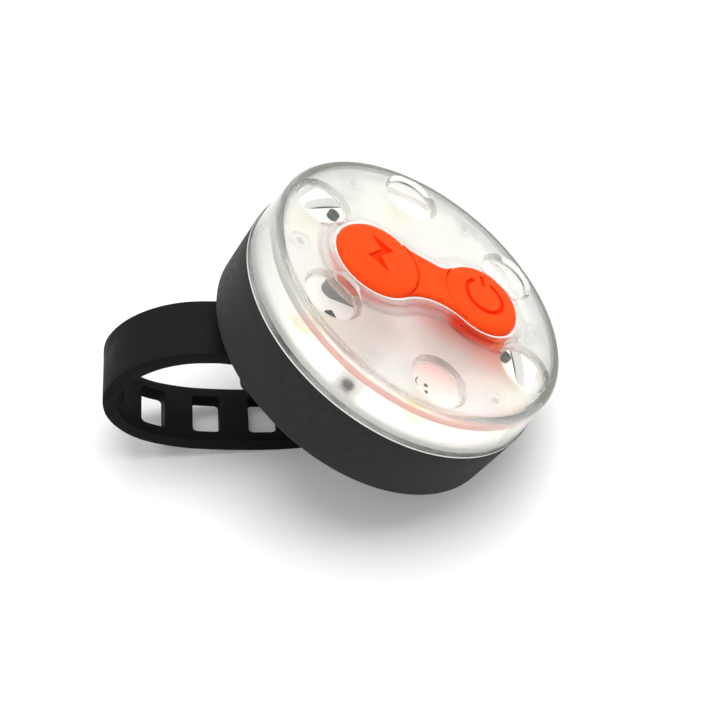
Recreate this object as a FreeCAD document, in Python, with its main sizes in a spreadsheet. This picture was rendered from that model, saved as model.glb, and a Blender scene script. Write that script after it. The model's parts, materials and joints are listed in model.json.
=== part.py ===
import FreeCAD, Part
import math
import os
import re
import Sketcher
from FreeCAD import Placement, Rotation, Vector

# Round bike tail light on a silicone ladder strap, millimetres.
# The light is built in its own frame: z is its optical axis with 0 at the seam between cup and cover,
# y is up on the bicycle, x runs from the charging port to the power button.
# At the end the whole light is tipped about y until its rear rim and its strap stand on the floor.

sizes = {
    "seam_radius": 25.0,
    "rear_taper": 0.53,
    "housing_depth": 10.3,
    "housing_wall": 1.7,
    "housing_floor": 1.6,
    "rear_edge": 0.5,
    "lip_height": 1.2,
    "lip_wall": 0.8,
    "lip_gap": 0.1,
    "board_thickness": 1.0,
    "board_gap": 0.15,
    "board_flat_inset": 3.65,
    "ledge_width": 1.2,
    "ledge_depth": 1.2,
    "boss_radius": 2.2,

    "flange_height": 0.55,
    "cover_inset": 0.25,
    "cover_draft": 0.35,
    "cover_wall": 1.5,
    "cover_height": 8.25,
    "cover_dome": 700.0,
    "cover_edge": 0.9,
    "face_thickness": 1.5,
    "window_radius": 4.55,
    "window_slope": 0.5,
    "window_depth": 0.8,
    "light_inset": 6.2,
    "pip_radius": 1.6,
    "pip_inset": 4.7,
    "pip_height": 0.4,

    "port_x": 8.65,
    "port_disc_radius": 6.7,
    "button_x": 9.15,
    "button_disc_radius": 6.3,
    "neck_arc": 9.3,
    "well_gap": 0.1,
    "disc_gap": 0.08,
    "collar_wall": 1.3,
    "collar_top": 8.9,
    "collar_round": 0.5,
    "well_floor": 6.2,
    "well_floor_thickness": 0.8,
    "base_sheet": 0.6,
    "neck_top": 9.45,
    "neck_round": 0.9,
    "disc_top": 10.15,
    "disc_dome": 52.0,
    "disc_round": 1.2,
    "disc_draft": 0.3,
    "sign_depth": 0.5,
    "sign_line": 0.6,
    "power_sign_radius": 3.1,
    "power_bar_length": 2.3,
    "button_stroke": 0.5,
    "stroke_spare": 0.05,
    "nub_radius": 1.5,
    "nub_gap": 0.02,
    "nub_clearance": 0.3,

    "plug_length": 11.2,
    "plug_width": 5.6,
    "plug_depth": 0.4,
    "plug_clearance": 0.2,
    "socket_length": 8.94,
    "socket_width": 3.26,
    "socket_wall": 0.3,
    "socket_height": 6.3,
    "socket_clearance": 0.2,
    "tongue_length": 6.7,
    "tongue_width": 0.7,
    "tongue_height": 5.6,
    "insert_height": 1.6,

    "switch_side": 6.0,
    "switch_height": 3.5,
    "switch_plate": 0.3,
    "plunger_radius": 1.7,
    "plunger_gap": 0.05,
    "plunger_top": 5.0,
    "plunger_bottom": 3.0,

    "screw_inset": 5.4,
    "screw_head_radius": 0.95,
    "screw_head_height": 0.8,
    "screw_radius": 0.8,
    "screw_length": 5.0,
    "screw_gap": 0.05,
    "screw_slot": 0.4,

    "led_side": 5.0,
    "led_height": 1.4,
    "led_cup_radius": 1.9,
    "led_cup_depth": 0.3,
    "resistor_inset": 11.6,
    "resistor_length": 2.0,
    "resistor_width": 1.25,
    "resistor_height": 0.5,
    "tray_wall": 0.55,
    "tray_height": 4.45,
    "tray_gap": 0.1,
    "ring_thickness": 0.9,

    "battery_length": 26.0,
    "battery_width": 18.0,
    "battery_clearance": 0.8,
    "battery_round": 1.2,
    "foam_height": 0.4,
    "foam_margin": 1.0,
    "lead_radius": 0.45,
    "lead_spacing": 3.0,
    "lead_reach": 1.6,
    "charge_chip_length": 4.9,
    "charge_chip_width": 3.9,
    "charge_chip_height": 1.5,
    "driver_chip_length": 2.9,
    "driver_chip_width": 1.6,
    "driver_chip_height": 1.1,
    "coil_side": 4.0,
    "coil_height": 2.0,
    "charge_led_length": 1.6,
    "charge_led_width": 0.8,
    "charge_led_height": 0.6,
    "chip_row": 9.5,

    "strap_width": 10.8,
    "strap_thickness": 2.3,
    "strap_round": 0.35,
    "strap_tail": 5.2,
    "tail_round": 2.0,
    "hole_width": 7.0,
    "hole_length": 4.2,
    "hole_pitch": 8.7,
    "hole_round": 0.6,
    "strap_seat_gap": 0.2,
    "pin_x": 16.0,
    "pin_drop": 2.9,
    "pin_radius": 1.0,
    "pin_gap": 0.03,
    "eye_wall": 1.3,
    "ear_radius": 2.6,
    "ear_thickness": 3.0,
    "ear_gap": 0.3,
    "hook_x": 13.6,
    "hook_length": 2.6,
    "hook_width": 6.2,
    "hook_nose": 2.2,
    "hook_nose_height": 1.2,
    "hook_gap": 0.2,
    "pad_length": 14.6,
    "pad_width": 18.0,
    "pad_thickness": 1.6,
    "post_radius": 16.0,
}

hole_count = 7
light_angles = [30 + 60 * step for step in range(6)]
screw_angles = [120 * step for step in range(3)]
resistor_turn = -5

doc = FreeCAD.newDocument("BikeTailLight")
sheet = doc.addObject("Spreadsheet::Sheet", "Sizes")
for row, (alias, value) in enumerate(sizes.items(), start=1):
    sheet.set(f"A{row}", alias)
    sheet.set(f"B{row}", str(value))
    sheet.setAlias(f"B{row}", alias)
doc.recompute()


def size(alias):
    return float(sheet.get(alias))


# An expression in which every alias is read from the sheet.
def cell(text):
    words = re.split(r"([a-z_]+)", text)
    return "".join("Sizes." + word if word in sizes else word for word in words)


def bind(feature, **values):
    for name, text in values.items():
        feature.setExpression(name, cell(text))
    return feature


def move(feature, x="0", y="0", z="0"):
    for axis, text in zip("xyz", (x, y, z)):
        feature.setExpression("Placement.Base." + axis, cell(text))
    return feature


# Box centred on x and y, standing on z.
def block(name, length, width, height, x="0", y="0", z="0"):
    box = bind(doc.addObject("Part::Box", name), Length=length, Width=width, Height=height)
    return move(box, f"{x} - ({length}) / 2", f"{y} - ({width}) / 2", z)


def rod(name, radius, height, x="0", y="0", z="0"):
    return move(bind(doc.addObject("Part::Cylinder", name), Radius=radius, Height=height), x, y, z)


# Cylinder across the light, centred on y = 0.
def cross_rod(name, radius, length, x="0", z="0"):
    cylinder = doc.addObject("Part::Cylinder", name)
    cylinder.Placement = Placement(Vector(), Rotation(Vector(1, 0, 0), -90))
    bind(cylinder, Radius=radius, Height=length)
    return move(cylinder, x, f"-({length}) / 2", z)


def cone(name, low_radius, top_radius, height, x="0", y="0", z="0"):
    shape = doc.addObject("Part::Cone", name)
    bind(shape, Radius1=low_radius, Radius2=top_radius, Height=height)
    return move(shape, x, y, z)


# Ball whose highest point is at z = top.
def cap(name, radius, top, x="0"):
    ball = bind(doc.addObject("Part::Sphere", name), Radius=radius)
    return move(ball, x, "0", f"{top} - ({radius})")


# Bar with round ends, along x.
def slot(name, length, width, height, x="0", z="0"):
    reach = f"(({length}) - ({width})) / 2"
    return fuse(name,
                block(name + "_middle", f"({length}) - ({width})", width, height, x, "0", z),
                rod(name + "_left", f"({width}) / 2", height, f"{x} - {reach}", "0", z),
                rod(name + "_right", f"({width}) / 2", height, f"{x} + {reach}", "0", z))


def fuse(name, *shapes):
    result = doc.addObject("Part::MultiFuse", name)
    result.Shapes = list(shapes)
    result.Refine = True
    return result


def cut(name, base, *tools):
    result = doc.addObject("Part::Cut", name)
    result.Base = base
    result.Tool = tools[0] if len(tools) == 1 else fuse(name + "_tools", *tools)
    return result


def common(name, first, second):
    result = doc.addObject("Part::MultiCommon", name)
    result.Shapes = [first, second]
    return result


# Rounds the edges that the test picks.
def round_edges(name, base, alias, test):
    doc.recompute()
    radius = size(alias)
    result = doc.addObject("Part::Fillet", name)
    result.Base = base
    result.Edges = [(index, radius, radius) for index, edge in enumerate(base.Shape.Edges, start=1) if test(edge)]
    return result


def plane_of(body, role):
    return next(item for item in body.Origin.OriginFeatures if item.Role == role)


def new_sketch(body, name, role):
    sketch = body.newObject("Sketcher::SketchObject", name)
    sketch.AttachmentSupport = [(plane_of(body, role), "")]
    sketch.MapMode = "FlatFace"
    return sketch


def tie(sketch, kind, geometry, point, text):
    index = sketch.addConstraint(Sketcher.Constraint(kind, -1, 1, geometry, point, 1.0 + geometry))
    name = f"{kind}_{geometry}_{point}"
    sketch.renameConstraint(index, name)
    sketch.setExpression("Constraints." + name, cell(text))


# Solid of revolution about z: the corners are radius and height.
def turned(name, corners):
    body = doc.addObject("PartDesign::Body", name)
    sketch = new_sketch(body, name + "_profile", "XZ_Plane")
    count = len(corners)
    rough = [Vector(20 + 9 * math.cos(math.tau * i / count), 9 * math.sin(math.tau * i / count), 0)
             for i in range(count)]
    for i in range(count):
        sketch.addGeometry(Part.LineSegment(rough[i], rough[(i + 1) % count]), False)
    for i, (across, up) in enumerate(corners):
        sketch.addConstraint(Sketcher.Constraint("Coincident", i, 2, (i + 1) % count, 1))
        if across == "0":
            sketch.addConstraint(Sketcher.Constraint("PointOnObject", i, 1, -2))
        else:
            tie(sketch, "DistanceX", i, 1, across)
        if up == "0":
            sketch.addConstraint(Sketcher.Constraint("PointOnObject", i, 1, -1))
        else:
            tie(sketch, "DistanceY", i, 1, up)
    spin = body.newObject("PartDesign::Revolution", name + "_spin")
    spin.Profile = sketch
    spin.ReferenceAxis = (sketch, ["V_Axis"])
    spin.Angle = 360
    body.Tip = spin
    return body


# Where the arcs of the bone's waist have their centre, above the line through both discs.
def waist_centre():
    left_x, left_reach = -size("port_x"), size("port_disc_radius") + size("neck_arc")
    right_x, right_reach = size("button_x"), size("button_disc_radius") + size("neck_arc")
    span = right_x - left_x
    along = (span ** 2 + left_reach ** 2 - right_reach ** 2) / (2 * span)
    return left_x + along, math.sqrt(left_reach ** 2 - along ** 2)


# The bone outline, two discs and a waist of tangent arcs, grown by the named gaps and padded upwards.
def bone(name, low, high, grow=()):
    body = doc.addObject("PartDesign::Body", name)
    sketch = new_sketch(body, name + "_outline", "XY_Plane")
    sketch.setExpression("AttachmentOffset.Base.z", cell(low))
    extra = sum(size(alias) for alias in grow)
    waist_x, waist_y = waist_centre()
    centres = [Vector(-size("port_x"), 0, 0), Vector(waist_x, -waist_y, 0),
               Vector(size("button_x"), 0, 0), Vector(waist_x, waist_y, 0)]
    radii = [size("port_disc_radius") + extra, size("neck_arc") - extra,
             size("button_disc_radius") + extra, size("neck_arc") - extra]
    tilt_left = math.atan2(waist_y, waist_x - centres[0].x)
    tilt_right = math.atan2(waist_y, waist_x - centres[2].x)
    ends = [(tilt_left, math.tau - tilt_left), (math.pi - tilt_right, math.pi - tilt_left),
            (-tilt_right, tilt_right), (tilt_left - math.pi, tilt_right - math.pi)]
    for centre, radius, (start, stop) in zip(centres, radii, ends):
        sketch.addGeometry(Part.ArcOfCircle(Part.Circle(centre, Vector(0, 0, 1), radius), start, stop), False)
    for first, first_end, second, second_end in ((0, 2, 1, 2), (1, 1, 2, 1), (2, 2, 3, 2), (3, 1, 0, 1)):
        sketch.addConstraint(Sketcher.Constraint("Tangent", first, first_end, second, second_end))
    grown = "".join(" + " + alias for alias in grow)
    shrunk = "".join(" - " + alias for alias in grow)
    for arc, text in enumerate(("port_disc_radius" + grown, "neck_arc" + shrunk,
                                "button_disc_radius" + grown, "neck_arc" + shrunk)):
        index = sketch.addConstraint(Sketcher.Constraint("Radius", arc, radii[arc]))
        sketch.renameConstraint(index, f"radius_{arc}")
        sketch.setExpression(f"Constraints.radius_{arc}", cell(text))
    for arc, text in ((0, "-port_x"), (2, "button_x")):
        sketch.addConstraint(Sketcher.Constraint("PointOnObject", arc, 3, -1))
        tie(sketch, "DistanceX", arc, 3, text)
    pad = body.newObject("PartDesign::Pad", name + "_pad")
    pad.Profile = sketch
    pad.setExpression("Length", cell(f"{high} - ({low})"))
    body.Tip = pad
    return body


pieces = {}


# Names a finished sub-part. A turn about the optical axis sets repeated ones round the ring.
def piece(label, feature, turn=0):
    feature.Label = label
    feature.Placement = Placement(Vector(), Rotation(Vector(0, 0, 1), turn))
    pieces[label] = feature


rear_radius = "(seam_radius - rear_taper)"
light_ring = "(seam_radius - light_inset)"
pip_ring = "(seam_radius - pip_inset)"
screw_ring = "(seam_radius - screw_inset)"
resistor_ring = "(seam_radius - resistor_inset)"
cover_radius = "(seam_radius - cover_inset)"
cover_bore = "(seam_radius - cover_inset - cover_wall)"
lip_outer = "(seam_radius - cover_inset - cover_wall - lip_gap)"
lip_inner = "(seam_radius - cover_inset - cover_wall - lip_gap - lip_wall)"
board_radius = "(seam_radius - cover_inset - cover_wall - lip_gap - lip_wall - board_gap)"
ledge_radius = "(seam_radius - cover_inset - cover_wall - lip_gap - lip_wall - board_gap - ledge_width)"
cavity_radius = "(seam_radius - rear_taper - housing_wall)"
cavity_floor = "(housing_floor - housing_depth)"
battery_height = ("(housing_depth - housing_floor - foam_height - board_thickness - coil_height"
                  " - battery_clearance)")
ledge_low = "(-board_thickness - ledge_depth)"
pin_z = "(-housing_depth - pin_drop)"
strap_seat_z = "(-housing_depth - strap_seat_gap - strap_thickness / 2)"
ear_inner = "(strap_width / 2 + ear_gap)"
base_top = "(well_floor + base_sheet)"
button_low = "(well_floor + base_sheet + button_stroke + stroke_spare)"


# Black cup: the turned shell, three screw bosses, two ears for the strap pin and the strap's hook.
def make_rear_housing():
    shell = turned("housing_shell", [
        ("0", "-housing_depth"),
        (f"{rear_radius} - rear_edge", "-housing_depth"),
        (rear_radius, "rear_edge - housing_depth"),
        ("seam_radius", "0"),
        (lip_outer, "0"),
        (lip_outer, "lip_height"),
        (lip_inner, "lip_height"),
        (lip_inner, "-board_thickness"),
        (ledge_radius, "-board_thickness"),
        (ledge_radius, ledge_low),
        (cavity_radius, f"{ledge_low} - ({cavity_radius} - {ledge_radius})"),
        (cavity_radius, cavity_floor),
        ("0", cavity_floor),
    ])
    bosses, bores = [], []
    for angle in screw_angles:
        x, y = f"{screw_ring} * cos({angle} deg)", f"{screw_ring} * sin({angle} deg)"
        bosses.append(rod(f"boss_{angle}", "boss_radius", f"-board_thickness - {cavity_floor}", x, y, cavity_floor))
        bores.append(rod(f"boss_bore_{angle}", "screw_radius + screw_gap", "screw_length",
                         x, y, "screw_gap - screw_length"))
    ears = []
    for side, sign in (("low", "-"), ("high", "")):
        y = f"{sign}({ear_inner} + ear_thickness / 2)"
        ears.append(block("ear_web_" + side, "ear_radius * 2", "ear_thickness", "pin_drop", "-pin_x", y, pin_z))
    round_ends = cut("ear_ends",
                     cross_rod("ear_round", "ear_radius", f"({ear_inner} + ear_thickness) * 2", "-pin_x", pin_z),
                     block("ear_space", "ear_radius * 3", f"{ear_inner} * 2", "ear_radius * 3",
                           "-pin_x", "0", f"{pin_z} - ear_radius * 1.5"))
    shank_height = "(strap_seat_gap + strap_thickness + hook_gap + hook_nose_height)"
    shank = block("hook_shank", "hook_length", "hook_width", shank_height,
                  "hook_x", "0", f"-housing_depth - {shank_height}")
    nose = block("hook_nose_bar", "hook_length + hook_nose", "hook_width", "hook_nose_height",
                 "hook_x + hook_nose / 2", "0", f"-housing_depth - {shank_height}")
    hook = round_edges("hook_rounded", fuse("hook_raw", shank, nose), "collar_round",
                       lambda edge: edge.BoundBox.ZLength < 0.01 and edge.BoundBox.XMin > size("hook_x") + 2)
    pin_bore = cross_rod("pin_bore", "pin_radius + pin_gap", f"({ear_inner} + ear_thickness) * 3", "-pin_x", pin_z)
    solid = fuse("housing_solid", shell, *bosses, *ears, round_ends, hook)
    piece("rear_housing", cut("rear_housing", solid, pin_bore, *bores))


# Clear cover: domed face, six round windows, and the well with its collar for the silicone.
def make_front_cover():
    skirt = cone("cover_skirt", cover_radius, f"{cover_radius} - cover_draft", "cover_height")
    crowned = common("cover_crowned", skirt, cap("cover_crown", "cover_dome", "cover_height"))
    rim = size("seam_radius") - size("cover_inset") - size("cover_draft")
    outer = round_edges("cover_outer", crowned, "cover_edge",
                        lambda edge: edge.BoundBox.ZMin > 5 and edge.BoundBox.XMax > rim - 1)
    flange = rod("cover_flange", "seam_radius", "flange_height")
    inside = common("cover_inside",
                    cone("cover_bore", cover_bore, f"{cover_bore} - cover_draft", "cover_height"),
                    cap("cover_ceiling", "cover_dome - face_thickness", "cover_height - face_thickness"))
    shell = cut("cover_shell", fuse("cover_body", outer, flange), inside)
    collar = bone("collar", "well_floor - well_floor_thickness", "collar_top", ("well_gap", "collar_wall"))
    rounded = round_edges("collar_rounded", collar, "collar_round",
                          lambda edge: edge.BoundBox.ZMin > size("collar_top") - 0.01)
    pips = [rod(f"pip_{angle}", "pip_radius", "pip_height * 2",
                f"{pip_ring} * cos({angle} deg)", f"{pip_ring} * sin({angle} deg)",
                f"cover_height - face_thickness - {pip_ring} ^ 2 / cover_dome / 2 - pip_height")
            for angle in range(0, 360, 60)]
    well = bone("well", "well_floor", "collar_top * 1.2", ("well_gap",))
    windows = []
    for angle in light_angles:
        windows.append(cone(f"window_{angle}", "window_radius - window_slope", "window_radius", "window_depth",
                            f"{light_ring} * cos({angle} deg)", f"{light_ring} * sin({angle} deg)",
                            f"cover_height - {light_ring} ^ 2 / cover_dome / 2 - window_depth"))
    windows += [rod(f"window_mouth_{angle}", "window_radius", "window_depth",
                    f"{light_ring} * cos({angle} deg)", f"{light_ring} * sin({angle} deg)",
                    f"cover_height - {light_ring} ^ 2 / cover_dome / 2") for angle in light_angles]
    socket_gate = slot("socket_gate", "socket_length + socket_clearance * 2", "socket_width + socket_clearance * 2",
                       "well_floor_thickness * 3", "-port_x", "well_floor - well_floor_thickness * 2")
    nub_gate = rod("nub_gate", "nub_radius + nub_clearance", "well_floor_thickness * 3",
                   "button_x", "0", "well_floor - well_floor_thickness * 2")
    solid = fuse("cover_solid", shell, rounded, *pips)
    piece("front_cover", cut("front_cover", solid, well, *windows, socket_gate, nub_gate))


# Orange sheet in the well with the neck that stands between the two discs.
def make_silicone_base():
    sheet_bone = bone("base_sheet_bone", "well_floor", base_top)
    neck_bone = bone("neck_bone", "well_floor", "neck_top")
    neck = round_edges("neck_rounded", neck_bone, "neck_round",
                       lambda edge: edge.BoundBox.ZMin > size("neck_top") - 0.01)
    port_room = rod("port_room", "port_disc_radius + disc_gap", "disc_top", "-port_x", "0", base_top)
    button_room = rod("button_room", "button_disc_radius + disc_gap", "disc_top", "button_x", "0", base_top)
    neck_only = cut("neck_only", neck, port_room, button_room)
    plug_hole = slot("plug_hole", "plug_length + plug_clearance * 2", "plug_width + plug_clearance * 2",
                     "base_sheet * 3", "-port_x", "well_floor - base_sheet")
    nub_hole = rod("nub_hole", "nub_radius + nub_clearance", "base_sheet * 3", "button_x", "0",
                   "well_floor - base_sheet")
    piece("silicone_base", cut("silicone_base", fuse("base_solid", sheet_bone, neck_only), plug_hole, nub_hole))


# Crowned silicone disc with a slightly narrower foot.
def crowned_disc(name, radius, x, low):
    shoulder = "(disc_top - disc_round * 1.7)"
    foot = cone(name + "_foot", f"{radius} - disc_draft", radius, f"{shoulder} - {low}", x, "0", low)
    head = rod(name + "_head", radius, f"disc_top - {shoulder}", x, "0", shoulder)
    crowned = common(name + "_crowned", fuse(name + "_stack", foot, head), cap(name + "_cap", "disc_dome", "disc_top", x))
    return round_edges(name + "_soft", crowned, "disc_round", lambda edge: edge.BoundBox.ZMin > size("disc_top") - size("disc_round"))


# Solid with the given outline that cuts a sign into a disc's crown.
def sign_cutter(name, face):
    cutter = doc.addObject("Part::Feature", name)
    depth = size("sign_depth") + 1
    cutter.Shape = face.extrude(Vector(0, 0, depth))
    return cutter


def make_port_cover():
    disc = crowned_disc("port_disc", "port_disc_radius", "-port_x", base_top)
    plug = slot("port_plug", "plug_length", "plug_width", "plug_depth + base_sheet", "-port_x", f"{base_top} - plug_depth")
    floor = size("disc_top") - size("sign_depth")
    half = [(-1.1, 3.4), (2.2, 1.35), (-0.1, -0.7)]
    bolt = [Vector(x - 0.2 - size("port_x"), y + 0.4, floor) for x, y in half + [(-x, -y) for x, y in half]]
    mark = sign_cutter("bolt_mark", Part.Face(Part.makePolygon(bolt + bolt[:1])))
    piece("port_cover", cut("port_cover", fuse("port_cover_solid", disc, plug), mark))


def make_power_button():
    disc = crowned_disc("button_disc", "button_disc_radius", "button_x", button_low)
    nub = rod("button_nub", "nub_radius", f"{button_low} + base_sheet - plunger_top - nub_gap",
              "button_x", "0", "plunger_top + nub_gap")
    floor = size("disc_top") - size("sign_depth")
    centre = Vector(size("button_x"), 0, floor)
    line, ring = size("sign_line"), size("power_sign_radius")
    outer = Part.Face(Part.Wire(Part.makeCircle(ring + line / 2, centre)))
    inner = Part.Face(Part.Wire(Part.makeCircle(ring - line / 2, centre)))
    gap = Part.Face(Part.makePolygon([centre, centre + Vector(-2 * ring, 2 * ring, 0),
                                      centre + Vector(1.4 * ring, 2 * ring, 0), centre]))
    bar = Part.makePlane(line, size("power_bar_length"), centre + Vector(-line / 2, ring * 0.65, 0))
    mark = sign_cutter("power_mark", outer.cut(inner).cut(gap).fuse(bar))
    piece("power_button", cut("power_button", fuse("power_button_solid", disc, nub), mark))


def make_board():
    disc = rod("board_disc", board_radius, "board_thickness", z="-board_thickness")
    holes = [rod(f"board_hole_{angle}", "screw_radius + screw_gap", "board_thickness * 2",
                 f"{screw_ring} * cos({angle} deg)", f"{screw_ring} * sin({angle} deg)", "-board_thickness * 1.5")
             for angle in screw_angles]
    flats = []
    for angle in screw_angles:
        flat = doc.addObject("Part::Compound", f"board_flat_{angle}")
        flat.Links = [block(f"board_flat_block_{angle}", "board_flat_inset", "seam_radius", "board_thickness * 3",
                            "seam_radius - board_flat_inset / 2", "0", "-board_thickness * 2")]
        flat.Placement = Placement(Vector(), Rotation(Vector(0, 0, 1), angle))
        flats.append(flat)
    piece("light_board", cut("light_board", disc, *holes, *flats))
    tops = []
    for angle in screw_angles:
        head = rod(f"screw_head_{angle}", "screw_head_radius", "screw_head_height", screw_ring)
        shank = rod(f"screw_shank_{angle}", "screw_radius", "screw_length", screw_ring, "0", "-screw_length + screw_slot")
        slots = [block(f"screw_slot_{angle}_{turn}", length, width, "screw_slot", screw_ring, "0",
                       "screw_head_height - screw_slot / 2")
                 for turn, (length, width) in enumerate((("screw_head_radius", "screw_slot"),
                                                         ("screw_slot", "screw_head_radius")))]
        screw = cut(f"screw_{angle}", fuse(f"screw_solid_{angle}", head, shank), *slots)
        screw.Placement = Placement(Vector(), Rotation(Vector(0, 0, 1), angle))
        tops.append(screw)
    group = doc.addObject("Part::Compound", "board_screws")
    group.Links = tops
    piece("board_screws", group)


def make_lights():
    for number, angle in enumerate(light_angles, start=1):
        body = block(f"led_body_{number}", "led_side", "led_side", "led_height", light_ring)
        cup = cone(f"led_cup_{number}", "led_cup_radius", "led_cup_radius + led_cup_depth", "led_cup_depth",
                   light_ring, "0", "led_height - led_cup_depth")
        piece(f"led_{number}", cut(f"led_{number}", body, cup), angle)
        chip = block(f"resistor_chip_{number}", "resistor_width", "resistor_length", "resistor_height", resistor_ring)
        piece(f"led_resistor_{number}", fuse(f"led_resistor_{number}", chip, block(
            f"resistor_glaze_{number}", "resistor_width", "resistor_length / 2", "resistor_height * 1.1",
            resistor_ring)), angle + resistor_turn)


# White wall round the board and the soft ring between it and the cover.
def make_tray_and_ring():
    tray_outer = f"({lip_inner} - tray_gap)"
    shoulder = f"({cover_bore} - cover_draft - tray_gap)"
    tray = turned("reflector_tray", [
        (f"{tray_outer} - tray_wall", "0"),
        (tray_outer, "0"),
        (tray_outer, "lip_height + tray_gap"),
        (shoulder, "lip_height + tray_gap * 6"),
        (shoulder, "tray_height"),
        (f"{shoulder} - tray_wall", "tray_height"),
        (f"{shoulder} - tray_wall", "lip_height + tray_gap * 6"),
    ])
    piece("reflector_tray", tray)
    ring = doc.addObject("Part::Torus", "ring_tube")
    bind(ring, Radius1=f"{shoulder} - ring_thickness / 2", Radius2="ring_thickness / 2")
    move(ring, z="tray_height + ring_thickness / 2")
    group = doc.addObject("Part::Compound", "cushion_ring")
    group.Links = [ring]
    piece("cushion_ring", group)


def make_socket():
    shell = cut("usb_shell",
                slot("socket_outer", "socket_length", "socket_width", "socket_height", "-port_x"),
                slot("socket_inner", "socket_length - socket_wall * 2", "socket_width - socket_wall * 2",
                     "socket_height * 2", "-port_x", "-socket_height / 2"))
    piece("usb_shell", shell)
    insert = fuse("usb_insert",
                  slot("insert_block", "socket_length - socket_wall * 2", "socket_width - socket_wall * 2",
                       "insert_height", "-port_x"),
                  block("insert_tongue", "tongue_length", "tongue_width", "tongue_height", "-port_x"))
    piece("usb_insert", insert)


def make_switch():
    plunger_bore = "plunger_radius + plunger_gap"
    body = cut("switch_body", block("switch_block", "switch_side", "switch_side", "switch_height", "button_x"),
               rod("switch_bore", plunger_bore, "switch_height", "button_x", "0",
                   "plunger_bottom - button_stroke - plunger_gap"))
    piece("switch_body", body)
    plate = cut("switch_plate_cut",
                block("switch_plate_sheet", "switch_side", "switch_side", "switch_plate", "button_x", "0", "switch_height"),
                rod("switch_plate_hole", plunger_bore, "switch_plate * 3", "button_x", "0",
                    "switch_height - switch_plate"))
    piece("switch_cover", plate)
    group = doc.addObject("Part::Compound", "switch_plunger")
    group.Links = [rod("plunger_rod", "plunger_radius", "plunger_top - plunger_bottom", "button_x", "0", "plunger_bottom")]
    piece("switch_plunger", group)


# Round tube along straight runs and arcs.
def tube(points, radius, bend):
    edges, last = [], points[0]
    for before, corner, after in zip(points, points[1:], points[2:]):
        towards, away = (before - corner).normalize(), (after - corner).normalize()
        start, stop = corner + towards * bend, corner + away * bend
        middle = corner + (towards + away).normalize() * bend * (math.sqrt(2) - 1)
        edges += [Part.makeLine(last, start), Part.Arc(start, middle, stop).toShape()]
        last = stop
    edges.append(Part.makeLine(last, points[-1]))
    circle = Part.Wire(Part.makeCircle(radius, points[0], points[1] - points[0]))
    return Part.Wire(edges).makePipeShell([circle], True, False)


def make_battery():
    foam_z = cavity_floor
    battery_z = f"({cavity_floor} + foam_height)"
    foam = doc.addObject("Part::Compound", "battery_pad")
    foam.Links = [block("foam_sheet", "battery_length - foam_margin * 2", "battery_width - foam_margin * 2",
                        "foam_height", z=foam_z)]
    piece("battery_pad", foam)
    pouch = block("battery_pouch", "battery_length", "battery_width", battery_height, z=battery_z)
    piece("battery", round_edges("battery", pouch, "battery_round", lambda edge: edge.BoundBox.ZLength < 0.01))
    start_x = size("battery_length") / 2
    bottom = size("housing_floor") - size("housing_depth") + size("foam_height")
    top = -size("board_thickness") - size("coil_height") - size("battery_clearance")
    level = (bottom + top) / 2
    for name, side in (("battery_lead_red", 1), ("battery_lead_black", -1)):
        y = side * size("lead_spacing") / 2
        route = [Vector(start_x, y, level), Vector(start_x + size("lead_reach"), y, level),
                 Vector(start_x + size("lead_reach"), y, -size("board_thickness"))]
        lead = doc.addObject("Part::Feature", name)
        lead.Shape = tube(route, size("lead_radius"), size("lead_reach") * 0.8)
        piece(name, lead)


# Parts soldered to the back of the board, and the charging light on its front.
def make_chips():
    rows = (("charge_chip", "charge_chip_length", "charge_chip_width", "charge_chip_height", "-port_x", "chip_row"),
            ("driver_chip", "driver_chip_length", "driver_chip_width", "driver_chip_height", "button_x / 2", "chip_row"),
            ("boost_coil", "coil_side", "coil_side", "coil_height", "-port_x / 2", "-chip_row"))
    for name, length, width, height, x, y in rows:
        group = doc.addObject("Part::Compound", name)
        group.Links = [block(name + "_block", length, width, height, x, y, f"-board_thickness - {height}")]
        piece(name, group)
    group = doc.addObject("Part::Compound", "charge_led")
    group.Links = [block("charge_led_block", "charge_led_length", "charge_led_width", "charge_led_height",
                         "-port_x", "port_disc_radius / 2")]
    piece("charge_led", group)


# The middle of the strap's thickness, seen along y, from the pin round the loop to the hook and the tail.
# Depths count from the back of the housing.
def strap_route():
    back = -size("housing_depth")
    seat = back - size("strap_seat_gap") - size("strap_thickness") / 2
    pin = Vector(-size("pin_x"), 0, back - size("pin_drop"))
    loop = [(-19.2, 3.2), (-22.0, 4.1), (-26.3, 6.6), (-29.6, 10.0), (-31.6, 14.0), (-31.9, 18.1), (-30.0, 21.6),
            (-26.8, 23.5), (-23.2, 24.05), (-19.0, 23.4), (-14.9, 22.1), (-8.0, 18.95), (-2.75, 16.0),
            (1.9, 12.4), (5.6, 8.2), (8.6, 4.0)]
    hook = size("hook_x")
    flat = [Vector(hook - 2.2, 0, seat - 0.25), Vector(hook, 0, seat), Vector(hook + size("strap_tail"), 0, seat)]
    return [pin] + [Vector(x, 0, back - depth) for x, depth in loop] + flat


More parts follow.
